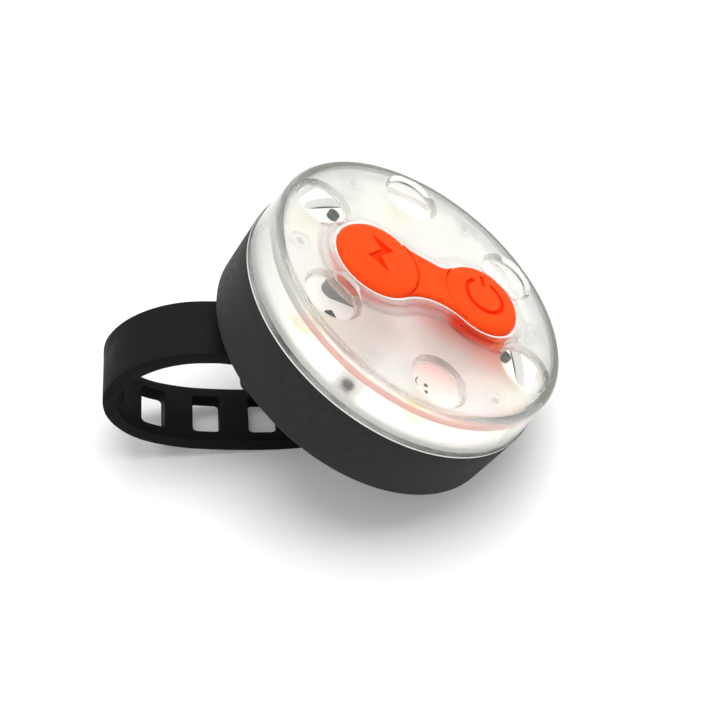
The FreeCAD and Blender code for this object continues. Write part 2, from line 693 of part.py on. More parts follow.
def make_strap():
    half, width = size("strap_thickness") / 2, size("strap_width")
    spine = Part.BSplineCurve()
    spine.interpolate(strap_route())
    line = spine.toShape()
    samples = 72

    def frame_at(distance):
        turn = line.getParameterByLength(distance)
        along = spine.tangent(turn)[0]
        return spine.value(turn), along, along.cross(Vector(0, 1, 0))

    sides = []
    for side in (-half, half):
        edge = Part.BSplineCurve()
        frames = [frame_at(line.Length * step / samples) for step in range(samples + 1)]
        edge.interpolate([point + across * side - Vector(0, width / 2, 0) for point, along, across in frames])
        sides.append(edge.toShape())
    ends = [Part.makeLine(sides[0].valueAt(at(sides[0])), sides[1].valueAt(at(sides[1])))
            for at in (lambda edge: edge.FirstParameter, lambda edge: edge.LastParameter)]
    band = Part.Face(Part.Wire(Part.__sortEdges__(sides + ends))).extrude(Vector(0, width, 0))
    tail_x = size("hook_x") + size("strap_tail")
    corners = [edge for edge in band.Edges
               if edge.BoundBox.XMin > tail_x - 0.5 and edge.BoundBox.ZLength > half and edge.BoundBox.YLength < 0.01]
    band = band.makeFillet(size("tail_round"), corners)
    rims = [edge for edge in band.Edges if edge.Length > line.Length * 0.8]
    band = band.makeFillet(size("strap_round"), rims)
    pin = Vector(-size("pin_x"), -width / 2, -size("housing_depth") - size("pin_drop"))
    eye = Part.makeCylinder(size("pin_radius") + size("eye_wall"), width, pin, Vector(0, 1, 0))
    bore = Part.makeCylinder(size("pin_radius") + size("pin_gap"), width, pin, Vector(0, 1, 0))
    solid = band.fuse(eye).cut(bore)
    slack = (size("hole_length") - size("hook_length")) / 2 - size("hook_gap") / 2
    hook_distance = line.Length - size("strap_tail") - slack
    for step in range(hole_count):
        point, along, across = frame_at(hook_distance - step * size("hole_pitch"))
        long, wide, deep = size("hole_length"), size("hole_width"), size("strap_thickness") * 2
        hole = Part.makeBox(long, wide, deep, Vector(-long / 2, -wide / 2, -deep / 2))
        uprights = [edge for edge in hole.Edges if edge.BoundBox.ZLength > deep / 2]
        hole = hole.makeFillet(size("hole_round"), uprights)
        hole.Placement = Placement(point, Rotation(along, Vector(0, 1, 0), across, "XYZ"))
        solid = solid.cut(hole)
    strap = doc.addObject("Part::Feature", "strap")
    strap.Shape = solid
    piece("strap", strap)


def make_strap_holders():
    pin = doc.addObject("Part::Compound", "strap_pin")
    pin.Links = [cross_rod("pin_rod", "pin_radius", f"({ear_inner} + ear_thickness) * 2", "-pin_x", pin_z)]
    piece("strap_pin", pin)
    depth = "(pad_thickness + post_radius - sqrt(post_radius ^ 2 - pad_length ^ 2 / 4))"
    saddle = cut("cradle_pad",
                 block("pad_block", "pad_length", "pad_width", depth, z=f"-housing_depth - {depth}"),
                 cross_rod("post_room", "post_radius", "pad_width * 2", "0",
                           "-housing_depth - pad_thickness - post_radius"))
    piece("cradle_pad", saddle)


for make in (make_rear_housing, make_front_cover, make_silicone_base, make_port_cover, make_power_button,
             make_board, make_lights, make_tray_and_ring, make_socket, make_switch, make_battery, make_chips,
             make_strap, make_strap_holders):
    make()
doc.recompute()


# The floor touches the rear rim and the lowest side of the strap.
def resting_place():
    rim = size("seam_radius") - size("rear_taper")
    edge = Vector(rim - size("rear_edge"), 0, -size("housing_depth"))
    points = [point for side in pieces["strap"].Shape.Edges for point in side.discretize(60)]
    tilt = max(math.atan2(edge.z - point.z, edge.x - point.x) for point in points if point.x < 0)
    turn = Rotation(Vector(0, 1, 0), math.degrees(tilt))
    tipped = [feature.Shape.copy() for feature in pieces.values()]
    for shape in tipped:
        shape.Placement = Placement(Vector(), turn).multiply(shape.Placement)
    box = Part.makeCompound(tipped).optimalBoundingBox(False, False)
    print(f"tilt {math.degrees(tilt):.3f} deg, box {box.XLength:.2f} x {box.YLength:.2f} x {box.ZLength:.2f}")
    return Placement(Vector(-box.Center.x, -box.Center.y, -box.ZMin), turn)


rest = resting_place()
print("rest shift", rest.Base)
for feature in pieces.values():
    feature.Placement = rest.multiply(feature.Placement)
doc.recompute()

for feature in doc.Objects:
    if "Invalid" in feature.State or "Error" in feature.State:
        raise RuntimeError(f"{feature.Label}: {feature.State}")
for label, feature in pieces.items():
    if feature.Shape.isNull() or not feature.Shape.isValid():
        raise RuntimeError(label + " has no valid shape")

os.makedirs("parts", exist_ok=True)
for label, feature in pieces.items():
    feature.Shape.exportStep(f"parts/{label}.step")
    print(f"{label}: {len(feature.Shape.Solids)} solid, {feature.Shape.Volume:.1f} mm3")
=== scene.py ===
import json
import math

import bmesh
import bpy
from mathutils import Matrix, Vector


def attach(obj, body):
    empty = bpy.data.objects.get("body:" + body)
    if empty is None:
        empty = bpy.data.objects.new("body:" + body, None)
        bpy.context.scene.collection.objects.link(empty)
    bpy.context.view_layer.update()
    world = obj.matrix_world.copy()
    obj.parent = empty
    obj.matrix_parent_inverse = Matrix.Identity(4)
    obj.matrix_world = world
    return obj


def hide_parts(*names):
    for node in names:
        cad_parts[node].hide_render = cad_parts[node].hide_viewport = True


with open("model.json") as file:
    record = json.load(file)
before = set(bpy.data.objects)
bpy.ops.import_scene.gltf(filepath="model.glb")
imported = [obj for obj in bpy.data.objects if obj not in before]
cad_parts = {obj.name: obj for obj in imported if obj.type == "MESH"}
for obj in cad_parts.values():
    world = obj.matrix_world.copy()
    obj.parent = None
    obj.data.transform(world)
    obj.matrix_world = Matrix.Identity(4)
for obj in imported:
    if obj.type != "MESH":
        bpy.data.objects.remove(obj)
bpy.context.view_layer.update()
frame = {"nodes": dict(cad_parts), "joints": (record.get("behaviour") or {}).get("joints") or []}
scene = bpy.context.scene
print("frame loaded:", len(frame["nodes"]), "nodes")

# The light has its own millimetre frame: z is the lens axis with 0 at the seam, x runs from port to button.
# The hinge of the port cover says where that frame lies on the table, the button's travel how far it leans.
mm = 0.001
joints = {joint["name"]: joint for joint in frame["joints"]}
hinge = {"x": -1.9, "z": 9.6}
pressed = joints["power_button_press"]["axis"]
lean = math.atan2(-pressed[0], -pressed[2])
lightFrame = (Matrix.Translation(joints["port_cover_hinge"]["pos_m"]) @ Matrix.Rotation(lean, 4, "Y")
              @ Matrix.Scale(mm, 4) @ Matrix.Translation((-hinge["x"], 0, -hinge["z"])))

# Points within the weld distance are one point, and faces are picked by their place to within a hair
weld = 1e-5
hair = 0.01


# Outlines are lists of points, counterclockwise seen from above

def arc(cx, cy, radius, start, stop, steps):
    angles = [math.radians(start + (stop - start) * i / steps) for i in range(steps + 1)]
    return [Vector((cx + radius * math.cos(a), cy + radius * math.sin(a), 0)) for a in angles]


def circle(cx, cy, radius, steps=64):
    return arc(cx, cy, radius, 0, 360, steps)[:-1]


# Angle of a direction in degrees
def bearing(x, y):
    return math.degrees(math.atan2(y, x))


def roundedRect(cx, cy, length, width, corner, steps=6):
    points = []
    for sx, sy, start in ((1, 1, 0), (-1, 1, 90), (-1, -1, 180), (1, -1, 270)):
        x, y = cx + sx * (length / 2 - corner), cy + sy * (width / 2 - corner)
        points += arc(x, y, corner, start, start + 90, steps)
    return points


# Rectangle with round ends, on the line from port to button
def oblong(cx, length, width, steps=6):
    return roundedRect(cx, 0, length, width, width / 2 - hair, steps)


# Moves every point of a closed outline outwards by the distance. The limit keeps sharp corners near.
def grown(points, distance, share=None, limit=0.4):
    moved = []
    for i, point in enumerate(points):
        before = (point - points[i - 1]).normalized()
        after = (points[(i + 1) % len(points)] - point).normalized()
        first, second = Vector((before.y, -before.x, 0)), Vector((after.y, -after.x, 0))
        miter = (first + second) / max(1 + first.dot(second), limit)
        moved.append(point + miter * distance * (share[i] if share else 1))
    return moved


def loop(bm, points, height):
    verts = [bm.verts.new((p.x, p.y, height)) for p in points]
    return [bm.edges.new(pair) for pair in zip(verts, verts[1:] + verts[:1])]


# Walls through the outline's loops, one for each (outwards, height) pair. Gives back the first and last loop.
def walls(bm, points, levels, share=None):
    first = edges = loop(bm, grown(points, levels[0][0], share), levels[0][1])
    verts = [edge.verts[0] for edge in edges]
    for out, height in levels[1:]:
        made = bmesh.ops.extrude_edge_only(bm, edges=edges)["geom"]
        fresh = {item for item in made if isinstance(item, bmesh.types.BMVert)}
        raised = []
        for vert, spot in zip(verts, grown(points, out, share)):
            twin = next(edge.other_vert(vert) for edge in vert.link_edges if edge.other_vert(vert) in fresh)
            twin.co = (spot.x, spot.y, height)
            raised.append(twin)
        verts = raised
        edges = [item for item in made if isinstance(item, bmesh.types.BMEdge) and fresh.issuperset(item.verts)]
    return first, edges


# Flat face between loops
def flat(bm, *loops):
    edges = [edge for one in loops for edge in one]
    made = bmesh.ops.triangle_fill(bm, use_beauty=True, use_dissolve=False, edges=edges)
    return [item for item in made["geom"] if isinstance(item, bmesh.types.BMFace)]


# Closed solid through the outline's loops
def prism(bm, points, levels, share=None):
    for edges in walls(bm, points, levels, share):
        flat(bm, edges)


# Turned profile of (radius, height) pairs. Gives back the loops at its two ends.
def turned(bm, profile, steps=128):
    verts = [bm.verts.new((radius, 0, height)) for radius, height in profile]
    edges = [bm.edges.new(pair) for pair in zip(verts, verts[1:])]
    bmesh.ops.spin(bm, geom=verts + edges, cent=(0, 0, 0), axis=(0, 0, 1), dvec=(0, 0, 0),
                   angle=math.tau, steps=steps, use_merge=True, use_duplicate=False)
    bmesh.ops.remove_doubles(bm, verts=bm.verts, dist=weld)
    ends = []
    for radius, height in (profile[0], profile[-1]):
        ends.append([edge for edge in bm.edges if len(edge.link_faces) < 2
                     and all(abs(v.co.z - height) < hair and abs(v.co.xy.length - radius) < hair
                             for v in edge.verts)])
    return ends


# Quarter round from one (outwards, height) pair to another
def quarter(start, stop, steps=5, hollow=False):
    (a, b), (c, d) = start, stop
    pairs = []
    for i in range(steps + 1):
        turn = math.pi / 2 * i / steps
        x, y = (1 - math.cos(turn), math.sin(turn)) if hollow else (math.sin(turn), 1 - math.cos(turn))
        pairs.append((a + (c - a) * x, b + (d - b) * y))
    return pairs


# Cuts the faces into strips, so that a flat face can be bent
def sliced(bm, faces, axis, low, high, step):
    count = int((high - low) / step)
    for i in range(1, count + 1):
        place = [0, 0, 0]
        place[axis] = low + (high - low) * i / (count + 1)
        normal = [0, 0, 0]
        normal[axis] = 1
        geom = faces + list({e for f in faces for e in f.edges}) + list({v for f in faces for v in f.verts})
        cutMade = bmesh.ops.bisect_plane(bm, geom=geom, dist=weld, plane_co=place, plane_no=normal)
        faces = [item for item in cutMade["geom"] if isinstance(item, bmesh.types.BMFace)]
    return faces


# Cuts the faces into squares, so that a flat face can be domed
def diced(bm, faces, reach, step):
    for axis in (0, 1):
        faces = sliced(bm, faces, axis, -reach, reach, step)


# Puts the faces that weren't there before in a material slot
def paint(bm, before, index):
    for face in set(bm.faces) - before:
        face.material_index = index


def faceOut(bm):
    bmesh.ops.recalc_face_normals(bm, faces=bm.faces)
    if bm.calc_volume(signed=True) < 0:
        bmesh.ops.reverse_faces(bm, faces=bm.faces)


# Adds the other bmesh to this one
def joined(bm, other):
    faceOut(other)
    mesh = bpy.data.meshes.new("joinedPart")
    other.to_mesh(mesh)
    other.free()
    bm.from_mesh(mesh)
    bpy.data.meshes.remove(mesh)


def meshObject(name, bm, materials):
    mesh = bpy.data.meshes.new(name)
    bm.to_mesh(mesh)
    for material in materials:
        mesh.materials.append(material)
    item = bpy.data.objects.new(name, mesh)
    scene.collection.objects.link(item)
    return item


# Makes the bmesh a piece that rides on a body and replaces nodes. With faced, its faces point out already.
def finished(name, bm, materials, *nodes, body="housing", sharp=38, faced=False):
    bmesh.ops.remove_doubles(bm, verts=bm.verts, dist=weld)
    if not faced:
        faceOut(bm)
    bm.transform(lightFrame)
    piece = meshObject(name, bm, materials)
    bm.free()
    piece.data.shade_smooth()
    piece.data.set_sharp_from_angle(angle=math.radians(sharp))
    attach(piece, body)
    if nodes:
        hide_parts(*nodes)
    return piece


# Materials

def node(tree, kind, **settings):
    made = tree.nodes.new("ShaderNode" + kind)
    for key, value in settings.items():
        if hasattr(made, key):
            setattr(made, key, value)
        else:
            made.inputs[key.replace("_", " ")].default_value = value
    return made


# A colour is a name in finish, or the colour itself
def newMaterial(name, color, roughness, **extra):
    material = bpy.data.materials.new(name)
    material.use_nodes = True
    shader = material.node_tree.nodes["Principled BSDF"]
    shader.inputs["Base Color"].default_value = (*finish.get(color, color), 1)
    shader.inputs["Roughness"].default_value = roughness
    for key, value in extra.items():
        shader.inputs[key.replace("_", " ")].default_value = value
    return material


# Emission settings for a material's glow; every part that uses it is no lamp, so its glow is painted light
def glow(strength, color=(1, 1, 0.97, 1)):
    return {"Emission_Color": color, "Emission_Strength": strength}


noiseLook = {"detail": 4.0, "toneSpan": (0.35, 0.68), "glossSpan": (0.3, 0.7),
             "fineTimes": 6, "fineDetail": 3.0, "fineDepth": 0.0001}


# Material with noise on Object coordinates that breaks up its tones, its roughness (gloss) and surface (bump)
def grained(name, color, roughness, scale, tones=None, gloss=None, bump=0.0, **extra):
    part = noiseLook
    material = newMaterial(name, color, roughness, **extra)
    tree = material.node_tree
    link = tree.links.new
    shader = tree.nodes["Principled BSDF"]
    coords = node(tree, "TexCoord")
    noise = node(tree, "TexNoise", Scale=scale, Detail=part["detail"])
    link(coords.outputs["Object"], noise.inputs["Vector"])
    if tones:
        ramp = node(tree, "ValToRGB")
        for i, tone in enumerate(tones):
            ramp.color_ramp.elements[i].position = part["toneSpan"][i]
            ramp.color_ramp.elements[i].color = (*finish.get(tone, tone), 1)
        link(noise.outputs["Fac"], ramp.inputs["Fac"])
        link(ramp.outputs["Color"], shader.inputs["Base Color"])
    if gloss:
        low, high = part["glossSpan"]
        spread = node(tree, "MapRange", From_Min=low, From_Max=high, To_Min=gloss[0], To_Max=gloss[1])
        link(noise.outputs["Fac"], spread.inputs["Value"])
        link(spread.outputs["Result"], shader.inputs["Roughness"])
    if bump:
        fine = node(tree, "TexNoise", Scale=scale * part["fineTimes"], Detail=part["fineDetail"])
        relief = node(tree, "Bump", Strength=bump, Distance=part["fineDepth"])
        link(coords.outputs["Object"], fine.inputs["Vector"])
        link(fine.outputs["Fac"], relief.inputs["Height"])
        link(relief.outputs["Normal"], shader.inputs["Normal"])
    return material


# Material that light passes through, by the share that passes
def glassy(name, color, roughness, passes, scale, gloss, bump=0.0, tones=None, bend=1.45, **extra):
    return grained(name, color, roughness, scale, tones, gloss, bump,
                   Transmission_Weight=passes, IOR=bend, **extra)


# Some of these colours are painted light and shade: the sunk signs' darker orange, the cover's dark far edge and
# its fade, the tints of light from the orange silicone, and the shade on the cover's wall and face
finish = {
    "housingDark": (0.019, 0.020, 0.019), "housingLight": (0.026, 0.027, 0.026),
    "strapDark": (0.003, 0.003, 0.004), "strapLight": (0.006, 0.006, 0.007),
    "orangeDark": (0.93, 0.067, 0.007), "orangeLight": (0.96, 0.080, 0.009),
    "orangeSunkShade": (0.90, 0.038, 0.003),
    "clear": (0.93, 0.935, 0.915), "edgeShadeOlive": (0.27, 0.28, 0.235), "edgeShadeSoft": (0.6, 0.61, 0.57),
    "wallShade": (0.56, 0.57, 0.56), "faceLit": (0.84, 0.6, 0.5), "collarLit": (0.98, 0.16, 0.06),
    "frostPale": (0.85, 0.855, 0.835), "frostLit": (0.66, 0.085, 0.05),
    "frostWarmShade": (0.54, 0.41, 0.37), "frostGreyShade": (0.58, 0.53, 0.49),
    "board": (0.80, 0.80, 0.775), "boardLit": (0.70, 0.15, 0.08),
    "ringPale": (0.86, 0.85, 0.82), "ringPinkLight": (0.95, 0.34, 0.26),
}
housingBlack = grained("housingBlack", "housingDark", 0.6, 900,
                       ("housingDark", "housingLight"), (0.5, 0.65), 0.25, Specular_IOR_Level=0.12)
strapBlack = grained("strapBlack", "strapDark", 0.6, 260,
                     ("strapDark", "strapLight"), (0.5, 0.72), 0.2, Specular_IOR_Level=0.1)
orangeSilicone = grained("orangeSilicone", "orangeDark", 0.6, 700,
                         ("orangeDark", "orangeLight"), (0.5, 0.65), 0.15, Specular_IOR_Level=0.06)
# Darker orange for the walls and floors of the sunk signs: painted shade in the recesses
orangeSunkShade = grained("orangeSunkShade", "orangeSunkShade", 0.6, 700,
                     ("orangeSunkShade", "orangeSunkShade"), (0.5, 0.65), 0.15, Specular_IOR_Level=0.06)

# The looks of the cover, in the order of its material slots
coverLooks = {
    "face": glassy("coverFace", "clear", 0.3, 0.78, 700, (0.285, 0.37)),
    "clear": newMaterial("coverClear", "clear", 0.03, Transmission_Weight=1.0, IOR=1.45),
    "frost": glassy("coverFrost", "clear", 0.72, 0.9, 700, (0.64, 0.8)),
    "rim": glassy("coverRim", "clear", 0.35, 0.2, 500, (0.3, 0.42), 0.1),
    "collar": glassy("coverCollar", "clear", 0.5, 0.85, 500, (0.42, 0.55), bend=1.2),
    "wall": glassy("coverWall", "clear", 0.06, 0.96, 500, (0.04, 0.09), 0.02),
    # The far edge's dark olive and the paler fade beside it are painted shade
    "edge": glassy("coverEdgeShade", "edgeShadeOlive", 0.15, 0.4, 500, (0.1, 0.2)),
    "pale": glassy("coverPale", (0.97, 0.97, 0.95), 0.3, 0.2, 500, (0.285, 0.36), bend=1.3),
    "edgeShadeSoft": glassy("coverEdgeFadeShade", "edgeShadeSoft", 0.12, 0.75, 500, (0.08, 0.16)),
    "inner": glassy("coverInner", "clear", 0.36, 0.96, 500, (0.32, 0.42)),
    "foot": glassy("coverFoot", "clear", 0.2, 0.92, 110, (0.15, 0.25),
                   tones=((0.05, 0.05, 0.045), (0.55, 0.55, 0.53))),
    "pip": glassy("coverPip", (0.4, 0.41, 0.39), 0.5, 0.8, 500, (0.45, 0.6)),
}
coverSlot = {look: i for i, look in enumerate(coverLooks)}

# The lip, cushion ring, board and tray glow though they are no lamps: painted light that stands in for the light
# inside the cover
lipPaintedLight = grained("lipPaintedLight", (0.9, 0.9, 0.88), 0.5, 900, ((0.87, 0.87, 0.85), (0.93, 0.93, 0.91)),
                  **glow(0.25))
ringRed = newMaterial("ringRed", "ringPale", 0.5, **glow(0.25, (1, 0.97, 0.94, 1)))
boardWhite = grained("boardWhite", "board", 0.4, 900, None, (0.34, 0.48), **glow(0.52))
whitePlastic = glassy("whitePlastic", (0.88, 0.88, 0.85), 0.2, 0.85, 800, (0.15, 0.25),
                      tones=((0.86, 0.86, 0.83), (0.91, 0.91, 0.88)), bend=1.05, **glow(0.33))
trayClear = glassy("trayClear", "clear", 0.1, 1.0, 800, (0.06, 0.14), bend=1.02)
steelShade = grained("steelShade", (0.2, 0.205, 0.2), 0.35, 1500, None, (0.28, 0.45), 0.1, Metallic=1.0)
screwBlack = grained("screwBlack", (0.035, 0.04, 0.04), 0.4, 1500, None, (0.34, 0.5), 0.1, Metallic=0.6)
brightSteel = grained("brightSteel", (0.42, 0.42, 0.41), 0.25, 1500, None, (0.18, 0.34), 0.1, Metallic=1.0)
blackPlastic = grained("blackPlastic", (0.015, 0.015, 0.016), 0.45, 1200,
                       ((0.012, 0.012, 0.013), (0.02, 0.02, 0.021)), (0.38, 0.55), 0.2)
# The LED cases glow as well: painted light
ledCase = grained("ledCase", (0.9, 0.9, 0.84), 0.3, 900, ((0.86, 0.86, 0.80), (0.92, 0.92, 0.86)),
                  **glow(0.5, (1, 1, 0.8, 1)))
ledPhosphor = grained("ledPhosphor", (0.86, 0.78, 0.28), 0.3, 1500, ((0.82, 0.72, 0.22), (0.9, 0.82, 0.36)))
batteryFilm = grained("batteryFilm", (0.5, 0.51, 0.53), 0.35, 300,
                      ((0.46, 0.47, 0.49), (0.56, 0.57, 0.59)), (0.28, 0.45), 0.3, Metallic=0.8)
leadRed = grained("leadRed", (0.55, 0.02, 0.02), 0.4, 900, ((0.5, 0.015, 0.015), (0.6, 0.025, 0.025)))
leadBlack = grained("leadBlack", (0.015, 0.015, 0.015), 0.4, 900, ((0.012, 0.012, 0.012), (0.02, 0.02, 0.02)))
padBlack = grained("padBlack", (0.018, 0.018, 0.019), 0.7, 700,
                   ((0.015, 0.015, 0.016), (0.024, 0.024, 0.025)), (0.62, 0.8), 0.5)
padGrey = grained("padGrey", (0.14, 0.14, 0.15), 0.5, 1500, ((0.1, 0.1, 0.11), (0.18, 0.18, 0.19)))
chipBlack = grained("chipBlack", (0.02, 0.02, 0.021), 0.5, 1500,
                    ((0.016, 0.016, 0.017), (0.026, 0.026, 0.027)), (0.42, 0.6), 0.25)


# Paints light and shade into a material's colour near lines: painted light let through from the pieces beside
# it, and painted shade. Each patch is a colour, the ends of its line, and how far from it the colour is full and
# gone. A later patch lies on top.
def paintLightAndShade(material, base, patches):
    tree = material.node_tree
    link = tree.links.new
    outcome = tree.nodes["Principled BSDF"].inputs["Base Color"]
    for color, start, stop, (full, gone) in patches:
        first = lightFrame @ Vector(start)
        span = lightFrame @ Vector(stop) - first
        coords = node(tree, "TexCoord")
        offset = node(tree, "VectorMath", operation="SUBTRACT")
        offset.inputs[1].default_value = first
        along = node(tree, "VectorMath", operation="DOT_PRODUCT")
        along.inputs[1].default_value = span / span.length_squared
        clamped = node(tree, "Clamp")
        nearest = node(tree, "VectorMath", operation="SCALE")
        nearest.inputs[0].default_value = span
        gap = node(tree, "VectorMath", operation="DISTANCE")
        fade = node(tree, "MapRange", interpolation_type="SMOOTHSTEP", From_Min=full * mm, From_Max=gone * mm)
        mix = node(tree, "Mix", data_type="RGBA")
        mix.inputs["A"].default_value = (*finish[color], 1)
        mix.inputs["B"].default_value = (*finish[base], 1)
        if outcome.is_linked:
            link(outcome.links[0].from_socket, mix.inputs["B"])
        link(coords.outputs["Object"], offset.inputs[0])
        link(offset.outputs["Vector"], along.inputs[0])
        link(along.outputs["Value"], clamped.inputs["Value"])
        link(clamped.outputs["Result"], nearest.inputs["Scale"])
        link(nearest.outputs["Vector"], gap.inputs[0])
        link(offset.outputs["Vector"], gap.inputs[1])
        link(gap.outputs["Value"], fade.inputs["Value"])
        link(fade.outputs["Result"], mix.inputs["Factor"])
        link(mix.outputs["Result"], outcome)


print("materials ready")


# Black cup with the strap's ears and hook

housing = {
    "seamRadius": 25.0, "seamRound": 0.12, "rearRadius": 24.47, "depth": 10.3, "edge": 0.72, "edgeFlat": 0.6,
    "backRings": (0, 6, 12, 18), "side": ((0.17, 3.5), (0.35, 7)), "wall": 1.7, "floor": 1.6, "rooted": 0.4,
    "lipOuter": 23.15, "lipInner": 22.35, "lipHeight": 1.2, "ledgeInner": 21.15, "ledge": (-1.0, -2.2),
    "ledgeSlope": 1.6, "boss": 2.2, "bossRing": 19.6, "bossSunk": 0.3,
    "earX": -16.0, "earDrop": 2.9, "earRadius": 2.6, "earInner": 5.7, "earThickness": 3.0, "earRound": 0.35,
    "earFillet": 0.7,
    "hookX": 13.6, "hookLength": 2.6, "hookWidth": 6.2, "hookNose": 2.2, "hookNoseHeight": 1.2,
    "hookDrop": 2.7, "hookRound": 0.25, "hookCorner": 0.4, "hookTip": 0.5, "hookFillet": 0.3,
}


# The ear and the hook are drawn from the side, with the housing's back at height 0
def earOutline():
    part = housing
    radius, fillet = part["earRadius"], part["earFillet"]
    outline = arc(0, -part["earDrop"], radius, 180, 360, 24)
    outline += [Vector((radius, -fillet, 0))] + arc(radius + fillet, -fillet, fillet, 180, 90, 4)[1:]
    outline += [Vector((x, part["rooted"], 0)) for x in (radius + fillet, -radius - fillet)]
    return outline + arc(-radius - fillet, -fillet, fillet, 90, 0, 4)


def hookOutline():
    part = housing
    corner, tip, fillet, drop = part["hookCorner"], part["hookTip"], part["hookFillet"], -part["hookDrop"]
    left = part["hookX"] - part["hookLength"] / 2
    right = left + part["hookLength"]
    nose, low = right + part["hookNose"], drop - part["hookNoseHeight"]
    outline = arc(left + corner, low + corner, corner, 180, 270, 4)
    outline += arc(nose - tip, low + tip, tip, 270, 360, 5)
    outline += arc(nose - corner, drop - corner, corner, 0, 90, 4)
    outline += arc(right + fillet, drop + fillet, fillet, 270, 180, 4)
    return outline + [Vector((x, part["rooted"], 0)) for x in (right, left)]


# Plate with rounded edges that stands out from the back
def backPlate(bm, outline, width, soft, steps, spot, share=None):
    rounded = quarter((-soft, width / 2), (0, width / 2 - soft), steps)
    plate = bmesh.new()
    prism(plate, outline, [(out, -up) for out, up in rounded] + rounded[::-1], share)
    plate.transform(Matrix.Translation(spot) @ Matrix.Rotation(math.pi / 2, 4, "X"))
    joined(bm, plate)


def makeHousing():
    part = housing
    back, rear, edge = -part["depth"], part["rearRadius"], part["edge"]
    seam, soft = part["seamRadius"], part["seamRound"]
    bore, floor = rear - part["wall"], part["floor"] + back
    outside = [(radius, back) for radius in part["backRings"]] + [(rear - edge - part["edgeFlat"], back)]
    outside += quarter((rear - edge, back), (rear, back + edge), 6)
    outside += [(rear + out, back + up) for out, up in part["side"]]
    outside += quarter((seam, -soft), (seam - soft, 0), 3, True)
    ledgeTop, ledgeFoot = part["ledge"]
    lip = [(part["lipOuter"], 0), (part["lipOuter"], part["lipHeight"]), (part["lipInner"], part["lipHeight"]),
           (part["lipInner"], ledgeTop), (part["ledgeInner"], ledgeTop), (part["ledgeInner"], ledgeFoot),
           (bore, ledgeFoot - part["ledgeSlope"]), (bore, floor), (0, floor)]
    bm = bmesh.new()
    turned(bm, outside + lip, 160)
    # The lip's faces get the pale glowing look: painted light on the housing's black lip, seen through the
    # cover's wall
    for face in bm.faces:
        if all(v.co.z > -hair and v.co.xy.length < part["lipOuter"] + hair for v in face.verts):
            face.material_index = 1
    for angle in (0, 120, 240):
        centre = Matrix.Rotation(math.radians(angle), 3, "Z") @ Vector((part["bossRing"], 0, 0))
        foot = floor - part["bossSunk"]
        prism(bm, circle(centre.x, centre.y, part["boss"], 32), [(0, foot), (0, ledgeTop)])
    ear = earOutline()
    share = [1 if point.y < -part["earFillet"] - hair else 0 for point in ear]
    for side in (-1, 1):
        spot = part["earX"], side * (part["earInner"] + part["earThickness"] / 2), back
        backPlate(bm, ear, part["earThickness"], part["earRound"], 4, spot, share)
    backPlate(bm, hookOutline(), part["hookWidth"], part["hookRound"], 3, (0, 0, back))
    finished("housingShell", bm, [housingBlack, lipPaintedLight], "rear_housing")


# Bone outline: two discs and the waist of tangent arcs between them

bone = {"portX": -8.65, "portRadius": 6.7, "buttonX": 9.15, "buttonRadius": 6.3, "neckArc": 9.3,
        "farSide": (Vector((-2.97, 4.5, 0)), Vector((3.6, 3.55, 0))), "farArc": 3.3}


# The near side of the neck is an arc about (x, -y) that touches the discs. Gives back x, y and the angles there.
def waist():
    left, right = bone["portRadius"] + bone["neckArc"], bone["buttonRadius"] + bone["neckArc"]
    span = bone["buttonX"] - bone["portX"]
    along = (span ** 2 + left ** 2 - right ** 2) / (2 * span)
    x, y = bone["portX"] + along, math.sqrt(left ** 2 - along ** 2)
    return x, y, bearing(x - bone["portX"], y), bearing(x - bone["buttonX"], y)


# The far side of the neck is a straight line with a small arc to each disc. Gives back the arcs' centres and the
# line's normal.
def farSide():
    start, stop = bone["farSide"]
    along = (stop - start).normalized()
    normal = Vector((-along.y, along.x, 0))
    centres = []
    for x, radius, way in ((bone["buttonX"], bone["buttonRadius"], -1), (bone["portX"], bone["portRadius"], 1)):
        foot = start + normal * bone["farArc"] - Vector((x, 0, 0))
        middle = -foot.dot(along)
        half = math.sqrt(middle ** 2 - foot.length_squared + (radius + bone["farArc"]) ** 2)
        centres.append(start + normal * bone["farArc"] + along * (middle + way * half))
    return centres, normal


# Far side of the neck, with each arc cut short by a trim. Gives back the outline and the angles on the discs.
def farOutline(buttonTrim=0.0, portTrim=0.0):
    (nearButton, nearPort), normal = farSide()
    down, radius = bearing(-normal.x, -normal.y), bone["farArc"]
    fromButton = bearing(nearButton.x - bone["buttonX"], nearButton.y)
    fromPort = bearing(nearPort.x - bone["portX"], nearPort.y)
    outline = arc(nearButton.x, nearButton.y, radius, fromButton - 180 - buttonTrim, down, 14)
    outline += arc(nearPort.x, nearPort.y, radius, down, fromPort - 180 + portTrim, 14)
    return outline, fromButton, fromPort


# How far a point inside the neck is from its sides
def sideGap(point):
    x, y = waist()[:2]
    centres, normal = farSide()
    along = Vector((normal.y, -normal.x, 0))
    near = Vector((point.x - x, -point.y - y, 0)).length - bone["neckArc"]
    if centres[1].dot(along) < point.dot(along) < centres[0].dot(along):
        far = (bone["farSide"][0] - point).dot(normal)
    else:
        far = min((point - centre).length for centre in centres) - bone["farArc"]
    return min(near, far)


# Degrees by which the neck's arcs and the discs' sides stop short where they meet
def trims(side, disc, neck):
    span = disc + neck
    onArc = (neck ** 2 + span ** 2 - side ** 2) / (2 * neck * span)
    onSide = (side ** 2 + span ** 2 - neck ** 2) / (2 * side * span)
    return math.degrees(math.acos(onArc)), math.degrees(math.acos(onSide))


def boneOutline():
    x, y, portTurn, buttonTurn = waist()
    far, buttonFar, portFar = farOutline()
    points = arc(bone["buttonX"], 0, bone["buttonRadius"], -buttonTurn, buttonFar, 56)[:-1] + far[:-1]
    points += arc(bone["portX"], 0, bone["portRadius"], portFar, 360 - portTurn, 60)[:-1]
    return points + arc(x, -y, bone["neckArc"], 180 - portTurn, 180 - buttonTurn, 24)[:-1]
